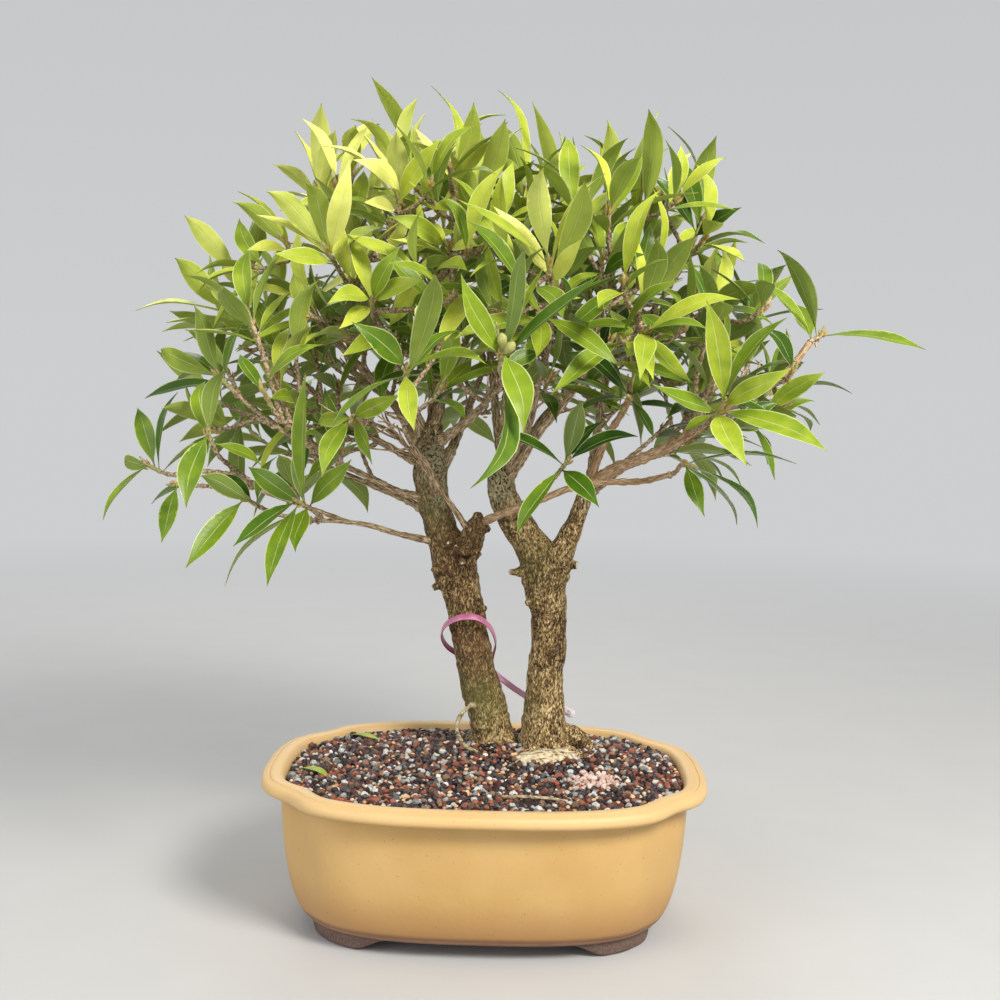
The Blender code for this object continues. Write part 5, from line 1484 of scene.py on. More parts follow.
def build_shoot(batch, shoot, tone, seed, bounds, green=1.0):
    draw = random.Random(seed)
    fine_stem(batch, shoot, tone, draw, green)
    if shoot.name in ROUND_BUDS:
        round_buds(batch, shoot, tone)
    for base, tip, normal, width in shoot.leaves:
        if shoot.name in OPEN_SHOOTS:
            normal = turned_to_camera(Vector(base), Vector(tip), Vector(normal))
        own_tone = min(1.0, max(TONE_LEAST, tone + draw.uniform(*LEAF_TONE_SPREAD)))
        fine_leaf(batch, base, tip, normal, width, own_tone, draw, bounds)


def height_tone(tip, draw):
    """Lower and inner shoots are deeper green than the sunlit top."""
    up = TONE_UP * (tip.z - CROWN_FOOT) / CROWN_RISE
    out = TONE_OUT * (tip - Vector(CROWN_MIDDLE)).length / CROWN_REACH
    return TONE_LOW + up + out - TONE_RIGHT * tip.x / 100 + draw.uniform(-TONE_SPREAD, TONE_SPREAD)


def crown_part(tip):
    """The name of the part of the crown that a place is in."""
    depth = "front" if tip.y < CROWN_MIDDLE[1] else "back"
    side = "_left" if tip.x < MIDDLE_PART[0] else "_right" if tip.x > MIDDLE_PART[1] else "_middle"
    return depth + side


def build_foliage(materials):
    """The solids' shoots with their side shoots, then the inner shoots in a few pieces."""
    neighbours = Neighbours()
    wood = coarse_wood()
    neighbours.add([v.co / MM for v in wood.data.vertices], [tuple(p.vertices) for p in wood.data.polygons])
    bpy.data.objects.remove(wood, do_unlink=True)
    neighbours.add(*strap_shape())
    shoots, used = grow_named_shoots(neighbours)
    sides = grow_side_shoots(shoots, used, neighbours)
    low, high = cad_box()
    bounds = (np.array(low) + BOX_MARGIN, np.array(high) - BOX_MARGIN)
    draw = random.Random(TONE_SEED)
    for number, shoot in enumerate(shoots):
        batch = Batch()
        tone = TONES.get(shoot.name) or height_tone(shoot.points[-2], draw)
        build_shoot(batch, shoot, tone, number, bounds)
        for side in sides:
            if side.place.shoot == shoot.name:
                build_shoot(batch, side, height_tone(side.points[-2], draw), number + SIDE_LOOKS, bounds)
        item = batch.build("shoot_" + shoot.name, materials)
        finish_piece(item, ["spray_" + shoot.name])
    groups = {}
    for shoot in grow_inner_shoots(shoots + sides, used, neighbours):
        groups.setdefault(crown_part(shoot.points[-2]), []).append(shoot)
    for part, group in groups.items():
        batch = Batch()
        for k, shoot in enumerate(group):
            tone = height_tone(shoot.points[-2], draw)
            build_shoot(batch, shoot, tone, INNER_LOOKS + k, bounds, INNER_GREEN)
        finish_piece(batch.build("inner_shoots_" + part, materials))


# Wood

# How far the bark's streaks are drawn out along a branch and where they may start, the rings from a knot to
# the next, and the grain of the trunks' mesh
STREAK_SQUEEZE = 0.16
STREAK_START = 500
KNOT_EVERY = 4
BARK_VOXEL = 0.75
THICK_WOOD = BURIED + ("knuckle", "left_nub", "right_nub", "fork_nub", "tag_nub", "right_limb")
TRUNK_SEED = 21
TRUNK_STEP = 3.0
TRUNK_FINE_SIDES = 28
TRUNK_KNOTS = 0.03
BARK_SMOOTHING = 5
SMOOTHING_SHARE = 0.5
# The bark's relief: sizes of the noise for lumps, plates, cracks and knobs, their heights, the height that a
# burr adds, and what all of it is lowered by
LUMP_SIZE = 13.0
PLATE_SIZE = 3.2
CRACK_SIZE = 2.2
CRACK_SHARP = 2.6
KNOB_SIZE = 3.8
LUMP_HEIGHT = 0.8
PLATE_HEIGHT = 0.85
KNOB_HEIGHT = 2.2
BURR_HEIGHT = 0.6
BARK_LOWERED = 0.35
BURR_DARKER = 0.02
# How much plates and cracks change the bark's relief, which is half without them, and where roots are pale:
# full and no paleness at these distances from the burl and from the aerial root, whose own share is the last
PLATE_SHARE = 0.35
CRACK_SHARE = 0.28
BURL_FADE = (0.8, 2.5)
AERIAL_FADE = (0.3, 1.0)
AERIAL_PALE = 0.5
# How near a cut stub's end the pale wood reaches, and how much flatter it is than bark
CUT_ROUND = 1.2
CUT_BACK = 0.3
CUT_FLAT = 0.7
# Patches of bark as middle, size and amount: burrs, grey lichen, a green tinge, darker or lighter wood
BURRS = [
    ((-18, 13, 211), 13, 1), ((-30, 14, 196), 6, 1), ((42, 8, 200), 9, 1), ((24, 8, 203), 6, 0.8),
    ((37, 14, 152), 7, 0.8), ((-6, 18, 148), 7, 0.8), ((-8, 8, 226), 7, 1), ((60, 29, 92), 8, 1),
    ((-40, 14, 268), 8, 0.7), ((-20, 18, 182), 7, 0.5),
]
LICHENS = [
    ((-30, 12, 262), 16, 1), ((3, 4, 250), 14, 1), ((-28, 12, 240), 9, 0.8), ((56, 10, 246), 9, 0.6),
]
GREENS = [
    ((-6, 18, 118), 18, 0.6), ((-36, 14, 232), 16, 0.35), ((20, 10, 205), 18, 0.3),
    ((22, 16, 120), 14, 0.25),
]
# The most that patches of green add up to
GREEN_MOST = 0.6
# Darker or lighter wood; the first patch is painted shade in the hollow beside the knuckle
SHADES = [
    ((-22, 11, 213), 6, -0.045), ((-26, 16, 235), 40, -0.03), ((-8, 18, 150), 36, -0.03),
    ((32, 14, 110), 26, 0.02), ((8, 8, 225), 26, 0.015), ((48, 12, 225), 20, 0.015),
    ((10, 24, 96), 14, 0.02),
]
# A pale burl of root in front of the right trunk
PALE_BURL = [
    (8, 1, 83, 3), (17, 1, 86, 6), (28, 2, 88.5, 7.4), (38, 4, 88.5, 7.2), (47, 8, 87.5, 5.6),
    (54, 12, 85, 3),
]
# Knobs as middle and radius, a knob's height and radius beside its own, and short cut stubs among them
KNOBS = [
    (-7, 12, 217.5, 3.4), (-8, 12, 208.5, 3.2), (-14, 11, 211, 3), (-11, 11, 203.5, 3.4),
    (-8, 14, 230, 3.6), (-3.5, 16, 176, 2.6), (43, 13, 204, 4), (43, 14, 196, 4), (23, 12, 181, 2.4),
    (-2, 15, 223, 2.6), (-31, 14, 199, 3), (-27, 12, 192, 3), (-38, 18, 262, 3.2), (20, 14, 203, 3),
    (38, 13, 152, 2.6),
]
KNOB_SHAPE = ((-0.85, 0.5), (0.0, 1.0), (0.85, 0.5))
STUBLETS = [
    [(-22, 16, 214, 1.8), (-24, 9.5, 215, 1.5), (-24.5, 7.5, 215.5, 1.3)],
    [(-19, 15, 210, 1.8), (-19.5, 8.5, 212, 1.4), (-20, 7, 214, 1.2)],
    [(-15, 15, 205, 1.8), (-16, 9, 204, 1.4), (-16, 7.5, 203.5, 1.3)],
]
CUT_STUBS = ("left_nub", "right_nub", "fork_nub")
# Radii beside the solids' own
AERIAL_SLIM = 0.68
STUB_SLIM = 0.72
BRANCH_SLIM = 0.8
SLIMMER = {
    "left_thick": 0.62, "left_low": 0.7, "left_rise": 0.7, "centre_lean": 0.72, "left_front": 0.58,
    "left_twig": 0.72, "left_second": 0.7, "left_upper": 0.74, "centre_slant": 0.72,
}
# Thin crooked twigs without leaves inside the crown
TWIG_COUNT = 120
TWIG_SEED = 57
TWIG_LENGTH = (16, 46)
TWIG_RADIUS = 0.75
TWIG_SIDES = 6
TWIG_POINTS = 5
TWIG_TAPER = 0.12
TWIG_CROOK = 0.25
TWIG_RISE = 0.08
# How much a twig's way leans out of the crown, upwards and at random, beside its branch's way
TWIG_OUT = 0.6
TWIG_UP = 0.5
TWIG_STRAY = 0.8
# The share of twigs that fork, and their side twigs' length and radius
FORKED_TWIGS = 0.6
SIDE_TWIG_LENGTH = (5, 16)
SIDE_TWIG_SLIM = 0.7
# The thickest branch with twigs, the lowest twig and its distance from the CAD box
TWIG_BRANCH = 3.2
TWIG_LOWEST = 262
TWIG_MARGIN = 6.0
WARM_BRANCHES = ("cross", "right_long", "right_front")
BRANCH_WARMTH = 0.15
WARM_BRANCH_WARMTH = 0.8
BRANCH_SEED = 22
BRANCH_STEP = 2.0
BRANCH_FINE_SIDES = 9
BRANCH_KNOTS = 0.12


def fine_tube(rows, step, sides, draw, knots):
    """A tube along a table's rows with uneven knots, and the places round and along it, in millimetres."""
    path, places = smooth_path([Vector(row[:3]) for row in rows], step)
    radii = [along_rows([row[3] for row in rows], place) for place in places]
    knotty = [1 + draw.uniform(-knots, knots) + knots * (i % KNOT_EVERY == 0) for i in range(len(radii))]
    radii = [radius * knot for radius, knot in zip(radii, knotty)]
    verts, faces = tube(path, radii, sides)
    turns = [2 * math.pi * k / sides for k in range(sides)]
    length = draw.uniform(0, STREAK_START)
    values = {"ring_x": [], "ring_y": [], "along": []}
    for i, radius in enumerate(radii):
        length += (path[i] - path[i - 1]).length if i else 0.0
        values["ring_x"] += [radius * math.cos(turn) for turn in turns]
        values["ring_y"] += [radius * math.sin(turn) for turn in turns]
        values["along"] += [length * STREAK_SQUEEZE] * sides
    return verts, faces, values


def nearest_on(place, rows):
    """Distance from a place to a tube's surface, less than zero inside."""
    best = None
    for first, last in zip(rows, rows[1:]):
        a, b = Vector(first[:3]), Vector(last[:3])
        share = max(0.0, min(1.0, (place - a).dot(b - a) / (b - a).length_squared))
        gap = (place - a.lerp(b, share)).length - (first[3] + (last[3] - first[3]) * share)
        best = gap if best is None else min(best, gap)
    return best


def fall(distance, near, far):
    """1 up to near, 0 from far on."""
    return max(0.0, min(1.0, (far - distance) / (far - near)))


def spread(place, patches):
    """Sum of round patches, each a middle, a size and an amount."""
    return sum(amount * math.exp(-((place - Vector(middle)).length / size) ** 2)
               for middle, size, amount in patches)


def bark_values(place):
    """Height of the bark in millimetres, and the values that its material reads."""
    burr = min(1.0, spread(place, BURRS))
    lump = noise.noise(place / LUMP_SIZE)
    flow = Vector((place.x, place.y, place.z * 0.5))
    plate = noise.noise(flow / PLATE_SIZE)
    crack = 1.0 - abs(noise.noise(flow / CRACK_SIZE + Vector((9, 4, 2)))) * CRACK_SHARP
    knob = noise.noise(place / KNOB_SIZE + Vector((3, 8, 1)))
    share = 0.5 + PLATE_SHARE * plate - CRACK_SHARE * max(0.0, crack)
    aerial = fall(nearest_on(place, BRANCHES["aerial_root"]), *AERIAL_FADE)
    pale = max(fall(nearest_on(place, PALE_BURL), *BURL_FADE), AERIAL_PALE * aerial)
    cut = 0.0
    for rows in [BRANCHES[name] for name in CUT_STUBS] + STUBLETS:
        before, end = (Vector(row[:3]) for row in rows[-2:])
        away = place - end
        beyond = away.dot((end - before).normalized()) > -CUT_BACK
        if beyond and away.length < rows[-1][3] + CUT_ROUND:
            cut = 1.0
    burl = burr * (KNOB_HEIGHT * knob + BURR_HEIGHT)
    height = LUMP_HEIGHT * lump + PLATE_HEIGHT * share + burl - BARK_LOWERED
    # The shade value holds wood tone, and painted shade in the hollow beside the knuckle
    values = {"relief": share, "pale": pale, "cut": cut, "lichen": min(1.0, spread(place, LICHENS)),
              "green": min(GREEN_MOST, spread(place, GREENS)),
              "shade": spread(place, SHADES) - BURR_DARKER * burr}
    return height * (1.0 - CUT_FLAT * cut), values


def stub_shape(name):
    """A branch's rows; a cut stub is thinner towards its end, and so is the aerial root all along."""
    rows = list(BRANCHES[name])
    slim = AERIAL_SLIM if name == "aerial_root" else STUB_SLIM if name in CUT_STUBS else 1.0
    return [rows[0]] + [(x, y, z, radius * slim) for x, y, z, radius in rows[1:]]


def knob_shape(x, y, z, radius):
    """Rows of a round knob."""
    return [(x, y, z + radius * reach, radius * share) for reach, share in KNOB_SHAPE]


def build_trunks(material):
    """Both trunks with their roots, knobs and stubs, fused and given a rough bark."""
    points, faces = [], []
    draw = random.Random(TRUNK_SEED)
    tables = list(TRUNKS.values()) + [stub_shape(name) for name in THICK_WOOD if name in BRANCHES]
    tables += [PALE_BURL] + STUBLETS + [knob_shape(*knob) for knob in KNOBS]
    for rows in tables:
        verts, sides = fine_tube(rows, TRUNK_STEP, TRUNK_FINE_SIDES, draw, TRUNK_KNOTS)[:2]
        append_shape(points, faces, verts, sides)
    item = new_object("trunks", new_mesh("trunks", points, faces))
    remesh = item.modifiers.new("voxels", "REMESH")
    remesh.mode = "VOXEL"
    remesh.voxel_size = BARK_VOXEL * MM
    smooth = item.modifiers.new("smooth", "SMOOTH")
    smooth.factor = SMOOTHING_SHARE
    smooth.iterations = BARK_SMOOTHING
    apply_modifiers(item)
    mesh = item.data
    mesh.update()
    values = {name: [] for name in ("relief", "shade", "pale", "lichen", "green", "cut")}
    normals = [v.normal.copy() for v in mesh.vertices]
    for vertex, normal in zip(mesh.vertices, normals):
        height, shares = bark_values(vertex.co / MM - ORIGIN)
        vertex.co += normal * height * MM
        for name, share in shares.items():
            values[name].append(share)
    add_values(mesh, "POINT", values)
    mesh.materials.clear()
    mesh.materials.append(material)
    mesh.shade_smooth()
    finish_piece(item, ["wood"])


def bare_twig(start, way, length, radius, draw):
    """Rows of a crooked twig."""
    rows = []
    for k in range(TWIG_POINTS):
        rows.append((*start, radius * (1 - TWIG_TAPER * k)))
        way = (way + random_way(draw) * TWIG_CROOK + UP * TWIG_RISE).normalized()
        start = start + way * length / (TWIG_POINTS - 1)
    return rows


def bare_twigs(low, high):
    """Rows of the twigs inside the crown, each from a branch or from another twig."""
    draw = random.Random(TWIG_SEED)
    places = [place for place in crown_places()
              if place.radius and place.radius < TWIG_BRANCH and place.point.z > TWIG_LOWEST]
    twigs = []
    while len(twigs) < TWIG_COUNT:
        place = draw.choice(places)
        out = (place.point - Vector(CROWN_MIDDLE)).normalized()
        stray = random_way(draw) * TWIG_STRAY
        way = (place.ahead + out * TWIG_OUT + UP * TWIG_UP + stray).normalized()
        twig = bare_twig(place.point, way, draw.uniform(*TWIG_LENGTH), TWIG_RADIUS, draw)
        ends = [twig]
        if draw.random() < FORKED_TWIGS:
            side = (way + random_way(draw)).normalized()
            length = draw.uniform(*SIDE_TWIG_LENGTH)
            ends.append(bare_twig(Vector(twig[2][:3]), side, length, TWIG_RADIUS * SIDE_TWIG_SLIM, draw))
        tips = [Vector(rows[-1][:3]) for rows in ends]
        if all(in_crown(tip) and inside(tip, low, high, TWIG_MARGIN) for tip in tips):
            twigs += ends
    return twigs


def build_branches(material):
    """The branches, slimmer than the solids', and the bare twigs, with streaky bark."""
    points, faces = [], []
    values = {"ring_x": [], "ring_y": [], "along": [], "warm": []}
    draw = random.Random(BRANCH_SEED)
    limbs = []
    for name, rows in BRANCHES.items():
        if name not in THICK_WOOD:
            slim = SLIMMER.get(name, BRANCH_SLIM)
            warm = WARM_BRANCH_WARMTH if name in WARM_BRANCHES else BRANCH_WARMTH
            limbs.append(([(x, y, z, radius * slim) for x, y, z, radius in rows], BRANCH_FINE_SIDES, warm))
    for rows in bare_twigs(*cad_box()):
        limbs.append((rows, TWIG_SIDES, draw.uniform(0.0, WARM_BRANCH_WARMTH)))
    for rows, count, warm in limbs:
        verts, sides, places = fine_tube(rows, BRANCH_STEP, count, draw, BRANCH_KNOTS)
        append_shape(points, faces, verts, sides)
        for key in places:
            values[key] += places[key]
        values["warm"] += [warm] * len(verts)
    add_piece("branches", points, faces, material, values=values)


# Pot

# The pot's section from its underside round the lip to its floor: height, inset, share of the notch
FINE_POT = [
    (8.9, 26.6, 0.1), (9.6, 25.7, 0.1), (10.6, 24.6, 0.15), (12.0, 23.2, 0.2), (14.5, 21.5, 0.22),
    (17.0, 20.2, 0.26), (20.0, 18.9, 0.3), (24.0, 17.6, 0.36), (30.0, 16.0, 0.45), (36.0, 14.8, 0.52),
    (44.0, 13.6, 0.6), (52.0, 12.6, 0.65), (60.0, 11.9, 0.7), (69.0, 11.4, 0.8), (77.0, 11.25, 0.88),
    (78.8, 11.0, 0.9), (79.7, 10.0, 0.92), (80.0, 8.4, 0.95), (80.2, 4.0, 1.0), (80.5, 2.2, 1.0),
    (81.2, 1.0, 1.0), (82.4, 0.3, 1.0), (84.0, 0.2, 1.0), (85.5, 0.5, 1.0), (86.7, 1.3, 1.0),
    (87.3, 2.3, 1.0), (87.35, 2.9, 1.0), (87.8, 3.4, 1.0), (88.05, 4.0, 1.0), (87.95, 4.5, 1.0),
    (87.5, 4.8, 1.0), (87.9, 5.2, 1.0), (88.3, 5.7, 1.0), (88.4, 7.2, 1.0), (88.4, 9.2, 1.0),
    (88.2, 10.6, 1.0), (87.7, 11.7, 0.98), (86.5, 12.7, 0.94), (84.0, 13.6, 0.8), (70.0, 15.8, 0.6),
    (50.0, 19.0, 0.4), (15.0, 32.0, 0.1),
]
POT_FINE = 6
POT_CREASE = math.radians(50)
DRAIN_SIDES = 48
# Bare clay: up to this height outside, and level surfaces up to this height
BARE_BAND = 12.6
BARE_FLOOR = 30.0
FOOT_SECTIONS = 44
FOOT_FINE = 40
FOOT_NOTCH = 0.1
# A foot's rounded edge, its greatest share of the foot's height, where its middle lies and how far the foot
# swells out over it
FOOT_EDGE = 1.6
FOOT_EDGE_SHARE = 0.45
FOOT_EDGE_MIDDLE = 0.3
FOOT_SWELL = 0.3
FOOT_CREASE = math.radians(55)


def build_pot(glaze, clay):
    """The pot as the solid's but with rounded edges; its underside, lowest band and inner floor are bare."""
    points = []
    for height, inset, notch in FINE_POT:
        points += [(p.x, p.y, height) for p in rim_outline(inset, notch, POT_FINE)]
    faces = tube_faces(len(FINE_POT), POT_POINTS * POT_FINE)
    pot = new_object("pot_body", new_mesh("pot_body", points, faces))
    cutters = []
    for x in (-DRAIN_X, DRAIN_X):
        ends = [Vector((x, 0, -5)), Vector((x, 0, FLOOR_HEIGHT + 10))]
        cutters.append(new_object("drain", new_mesh("drain", *tube(ends, [DRAIN_RADIUS] * 2, DRAIN_SIDES))))
    boolean(pot, cutters, "DIFFERENCE")
    mesh = pot.data
    mesh.materials.clear()
    mesh.materials.append(glaze)
    mesh.materials.append(clay)
    add_values(mesh, "POINT", {"height": [v.co.z / MM for v in mesh.vertices]})
    for polygon in mesh.polygons:
        height = polygon.center.z / MM
        level = abs(polygon.normal.z) > 0.9
        polygon.material_index = int(height < BARE_BAND or level and height < BARE_FLOOR)
    mesh.shade_smooth()
    mesh.set_sharp_from_angle(angle=POT_CREASE)
    finish_piece(pot, ["pot"])


def corner_path(outline):
    """The part of an outline in the +X +Y quarter that carries a foot."""
    return [p for p in outline if p.x > FOOT_FRONT_GAP and p.y > FOOT_SIDE_GAP]


def foot_ring(out, back, sole):
    """A foot's section at one place of its length, from the outer side to the inner: points and heights."""
    depth = (back - out).normalized()
    edge = min(FOOT_EDGE, (FOOT_TOP - sole) * FOOT_EDGE_SHARE)
    return [(out, FOOT_TOP), (out - depth * FOOT_SWELL, sole + edge),
            (out + depth * edge * FOOT_EDGE_MIDDLE, sole + edge * FOOT_EDGE_MIDDLE),
            (out + depth * edge, sole), (back - depth * edge, sole), (back, sole + edge), (back, FOOT_TOP)]


def build_feet(clay):
    """Four corner feet with rounded edges, whose ends rise in an ogee."""
    outer = corner_path(rim_outline(FOOT_OUTER_INSET, FOOT_NOTCH, FOOT_FINE))
    inner = corner_path(rim_outline(FOOT_OUTER_INSET + FOOT_WIDTH, FOOT_NOTCH, FOOT_FINE))
    span = (outer[0] - outer[-1]).length
    for sx in (-1, 1):
        for sy in (-1, 1):
            points = []
            for step in range(FOOT_SECTIONS):
                share = step / (FOOT_SECTIONS - 1)
                out, back = (row[round(share * (len(row) - 1))] for row in (outer, inner))
                rise = min(min(share, 1 - share) * span / FOOT_OGEE, 1.0)
                sole = FOOT_RISE * (0.5 + 0.5 * math.cos(math.pi * rise))
                ring = foot_ring(out, back, sole)
                points += [(p.x * sx, p.y * sy, z) for p, z in ring]
            faces = tube_faces(FOOT_SECTIONS, len(ring))
            # A foot mirrored once has its faces outward already
            if sx * sy > 0:
                faces = [tuple(reversed(face)) for face in faces]
            name = "foot_" + ("front" if sy < 0 else "back") + ("_left" if sx < 0 else "_right")
            values = {"height": [0.0] * len(points)}
            add_piece(name, points, faces, clay, values=values, crease=FOOT_CREASE)


# Soil

GRAIN_SEED = 31
GRAIN_SPACING = 3.15
GRAIN_SHAPES = 10
GRAIN_SHRINK = 0.93
GRAIN_SHIFT = 1.1
# Grains as uneven as this or more have flat facets
SMOOTH_GRAIN = 0.3
# The rates of a grain's broad and fine bumps, how it is stretched and how it lies over the soil's height
GRAIN_BROAD = 1.7
GRAIN_FINE = 4
GRAIN_STRETCH = (0.8, 1.15)
GRAIN_LIFT = (-0.2, 0.55)
# Distance of the grains' rows over their spacing in a row, and the grains' gap to the pot's inside
ROW_SHARE = 0.866
GRAIN_INSET = 0.6


def grain_shapes(rough):
    """Unit grains as arrays of points, the more uneven the rougher."""
    sphere = bpy.data.meshes.new("sphere")
    shape = bmesh.new()
    bmesh.ops.create_icosphere(shape, subdivisions=2, radius=1.0)
    shape.to_mesh(sphere)
    shape.free()
    places = np.array([v.co for v in sphere.vertices])
    faces = [tuple(p.vertices) for p in sphere.polygons]
    shapes = []
    for k in range(GRAIN_SHAPES):
        offset = Vector((k * 7.3, rough * 50, 1.7))
        sizes = []
        for place in places:
            broad = noise.noise(Vector(place) * GRAIN_BROAD + offset)
            fine = noise.noise(Vector(place) * GRAIN_FINE + offset)
            sizes.append(1 + rough * broad + rough * 0.5 * fine)
        shapes.append(places * np.array(sizes)[:, None])
    return shapes, faces


# Grains: chance, unevenness, dark and pale colour, least and greatest radius, roughness of the surface
GRAINS = {
    "lava_grains": (0.2, 0.42, (0.03, 0.008, 0.005), (0.36, 0.12, 0.07), (1.2, 2.3), 0.9),
    "dark_grains": (0.38, 0.12, (0.004, 0.002, 0.004), (0.07, 0.04, 0.05), (1.1, 2.0), 0.38),
    "tan_grains": (0.15, 0.14, (0.22, 0.08, 0.03), (0.85, 0.54, 0.3), (0.9, 1.7), 0.5),
    "pumice_grains": (0.15, 0.4, (0.05, 0.055, 0.06), (0.6, 0.6, 0.57), (1.2, 2.4), 0.8),
    "white_grains": (0.04, 0.35, (0.45, 0.42, 0.38), (0.95, 0.9, 0.82), (0.9, 1.9), 0.8),
    "brown_grains": (0.08, 0.35, (0.03, 0.015, 0.008), (0.26, 0.16, 0.1), (1.3, 2.5), 0.9),
}
# A pale sandy clump, its middle, half sizes and how ragged its edge is
CLUMP_MIDDLE = (64.0, -24.0)
CLUMP_HALF = (14.0, 13.0)
CLUMP_RAGGED = 0.3
CLUMP = (0.0, 0.3, (0.48, 0.3, 0.25), (0.8, 0.62, 0.54), (1.3, 2.3), 0.9)


def grain_places(kinds, draw):
    """Where the grains of each kind lie inside the pot's rim, in shifted rows."""
    rim = rim_outline(SOIL_TOP_INSET + GRAIN_INSET, 0.7, 2)
    angles = np.array([math.atan2(p.y, p.x) % (2 * math.pi) for p in rim])
    reaches = np.array([p.length for p in rim])
    order = np.argsort(angles)
    names = list(GRAINS)
    chances = [GRAINS[name][0] for name in names]
    grains = {name: [] for name in kinds}
    rows = int(POT_HALF_WIDTH / (GRAIN_SPACING * ROW_SHARE)) + 1
    columns = int(POT_HALF_LENGTH / GRAIN_SPACING) + 1
    for row in range(-rows, rows + 1):
        for column in range(-columns, columns + 1):
            x = (column + 0.5 * (row % 2)) * GRAIN_SPACING + draw.uniform(-GRAIN_SHIFT, GRAIN_SHIFT)
            y = row * GRAIN_SPACING * ROW_SHARE + draw.uniform(-GRAIN_SHIFT, GRAIN_SHIFT)
            turn = math.atan2(y, x) % (2 * math.pi)
            reach = np.interp(turn, angles[order], reaches[order], period=2 * math.pi)
            name = draw.choices(names, chances)[0]
            off = math.hypot((x - CLUMP_MIDDLE[0]) / CLUMP_HALF[0], (y - CLUMP_MIDDLE[1]) / CLUMP_HALF[1])
            if off + draw.uniform(-CLUMP_RAGGED, CLUMP_RAGGED) < 1.0:
                name = "clump_grains"
            if math.hypot(x, y) < reach:
                grains[name].append((x, y))
    return grains


def build_grain_kind(name, kind, places, draw):
    """All grains of one kind, each turned, stretched and sunk a little at random."""
    chance, rough, dark, pale, radii, gloss = kind
    shapes, faces = grain_shapes(rough)
    points, all_faces, tones, rises = [], [], [], []
    for x, y in places:
        size = draw.uniform(*radii) * GRAIN_SHRINK
        turn = Matrix.Rotation(draw.uniform(0, FULL_TURN), 3, Vector((draw.gauss(0, 1), draw.gauss(0, 1), 1)))
        scale = np.array([draw.uniform(*GRAIN_STRETCH) for k in range(3)]) * size
        lift = soil_height(x, y) + size * draw.uniform(*GRAIN_LIFT)
        verts = (shapes[draw.randrange(GRAIN_SHAPES)] * scale) @ np.array(turn) + np.array((x, y, lift))
        first = len(points) * len(verts)
        points.append(verts)
        # Each point's height over the grain's middle, by which the material paints shade under the grain
        rises += list((verts[:, 2] - lift) / size)
        all_faces.append(np.array(faces) + first)
        tones += [draw.random()] * len(faces)
    mesh = new_mesh(name, np.concatenate(points), np.concatenate(all_faces), rough < SMOOTH_GRAIN)
    add_values(mesh, "FACE", {"tone": tones})
    add_values(mesh, "POINT", {"rise": rises})
    mesh.materials.append(grain_material(name, dark, pale, gloss))
    finish_piece(new_object(name, mesh))


def build_grains():
    """The grit that covers the soil, a piece for each kind."""
    draw = random.Random(GRAIN_SEED)
    kinds = dict(GRAINS, clump_grains=CLUMP)
    for name, places in grain_places(kinds, draw).items():
        build_grain_kind(name, kinds[name], places, draw)


# Strap, loose pieces and screens

STRAP_STEP = 1.2
STRAP_CREASE = math.radians(50)
# The tab at the strap's end: its length, its width beside the strap's and the length that is rounded
TAB_LENGTH = 11.0
TAB_BROAD = 1.3
ROUND_END = 2.0
ROUND_LEAST = 0.05
# How far the tail faces down, and the points before the loop's last at which it starts to turn
TAIL_DOWN = 0.7
TAIL_START = 1.5
# The section's corners as shares of the strap's width and thickness
STRAP_SECTION = ((-0.5, -0.2), (-0.44, -0.5), (0.44, -0.5), (0.5, -0.2),
                 (0.5, 0.2), (0.44, 0.5), (-0.44, 0.5), (-0.5, 0.2))
# The tab's slot: its place on the tab, half length, half width, the raised rim's radius, its height over the
# strap's thickness and its points
SLOT_PLACE = 0.4
SLOT_LONG = 2.6
SLOT_WIDE = 0.95
SLOT_RIM = 0.28
SLOT_RISE = 0.55
SLOT_POINTS = 20
SLOT_SIDES = 6


def strap_facing(point, along, blend):
    """The broad side's way: out of the loop where blend is 0, down and away from the trunk where it is 1."""
    loop = (point - Vector(STRAP_LOOP_CENTRE)).normalized()
    tail = (UP.cross(along) - UP * TAIL_DOWN).normalized()
    out = loop * (1 - blend) + tail * blend
    return (out - along * out.dot(along)).normalized()


def build_strap(material):
    """The strip with rounded edges, its last stretch a tab with a rounded end, a raised slot and painted
    light.
    """
    path, places = smooth_path([Vector(p) for p in STRAP_PATH], STRAP_STEP)
    points = []
    values = {"across": [], "inner": [], "end": [], "tail": []}
    left = [(path[-1] - point).length for point in path]
    for i, point in enumerate(path):
        along = way_at(path, i)
        blend = min(1.0, max(0.0, places[i] - STRAP_LOOP_POINTS + TAIL_START))
        out = strap_facing(point, along, blend)
        across = along.cross(out)
        tail = i > len(path) / 2
        tab = tail and left[i] < TAB_LENGTH
        round_end = 1.0
        if tail and left[i] < ROUND_END:
            round_end = math.sqrt(max(ROUND_LEAST, 1 - (1 - left[i] / (STRAP_WIDTH / 2)) ** 2))
        broad = TAB_BROAD if tab else 1.0
        for a, b in STRAP_SECTION:
            points.append(point + across * STRAP_WIDTH * a * round_end * broad + out * STRAP_THICKNESS * b)
            values["across"].append(a)
            # inner marks the loop's side against the trunk, painted darker as painted shade
            values["inner"].append(float(b < 0) * (1 - blend))
            # end and tail mark the tab and the tail, painted paler as painted light
            values["end"].append(1.0 if tab else 0.0)
            values["tail"].append(blend)
    faces = tube_faces(len(path), len(STRAP_SECTION))
    slot, slot_faces = tab_slot(path[-1], (path[-1] - path[-3]).normalized(), out)
    append_shape(points, faces, slot, slot_faces)
    for name in values:
        values[name] += [1.0 if name == "end" else 0.0] * len(slot)
    add_piece("plastic_strap", points, faces, material, ["tag_strap"], values, STRAP_CREASE)


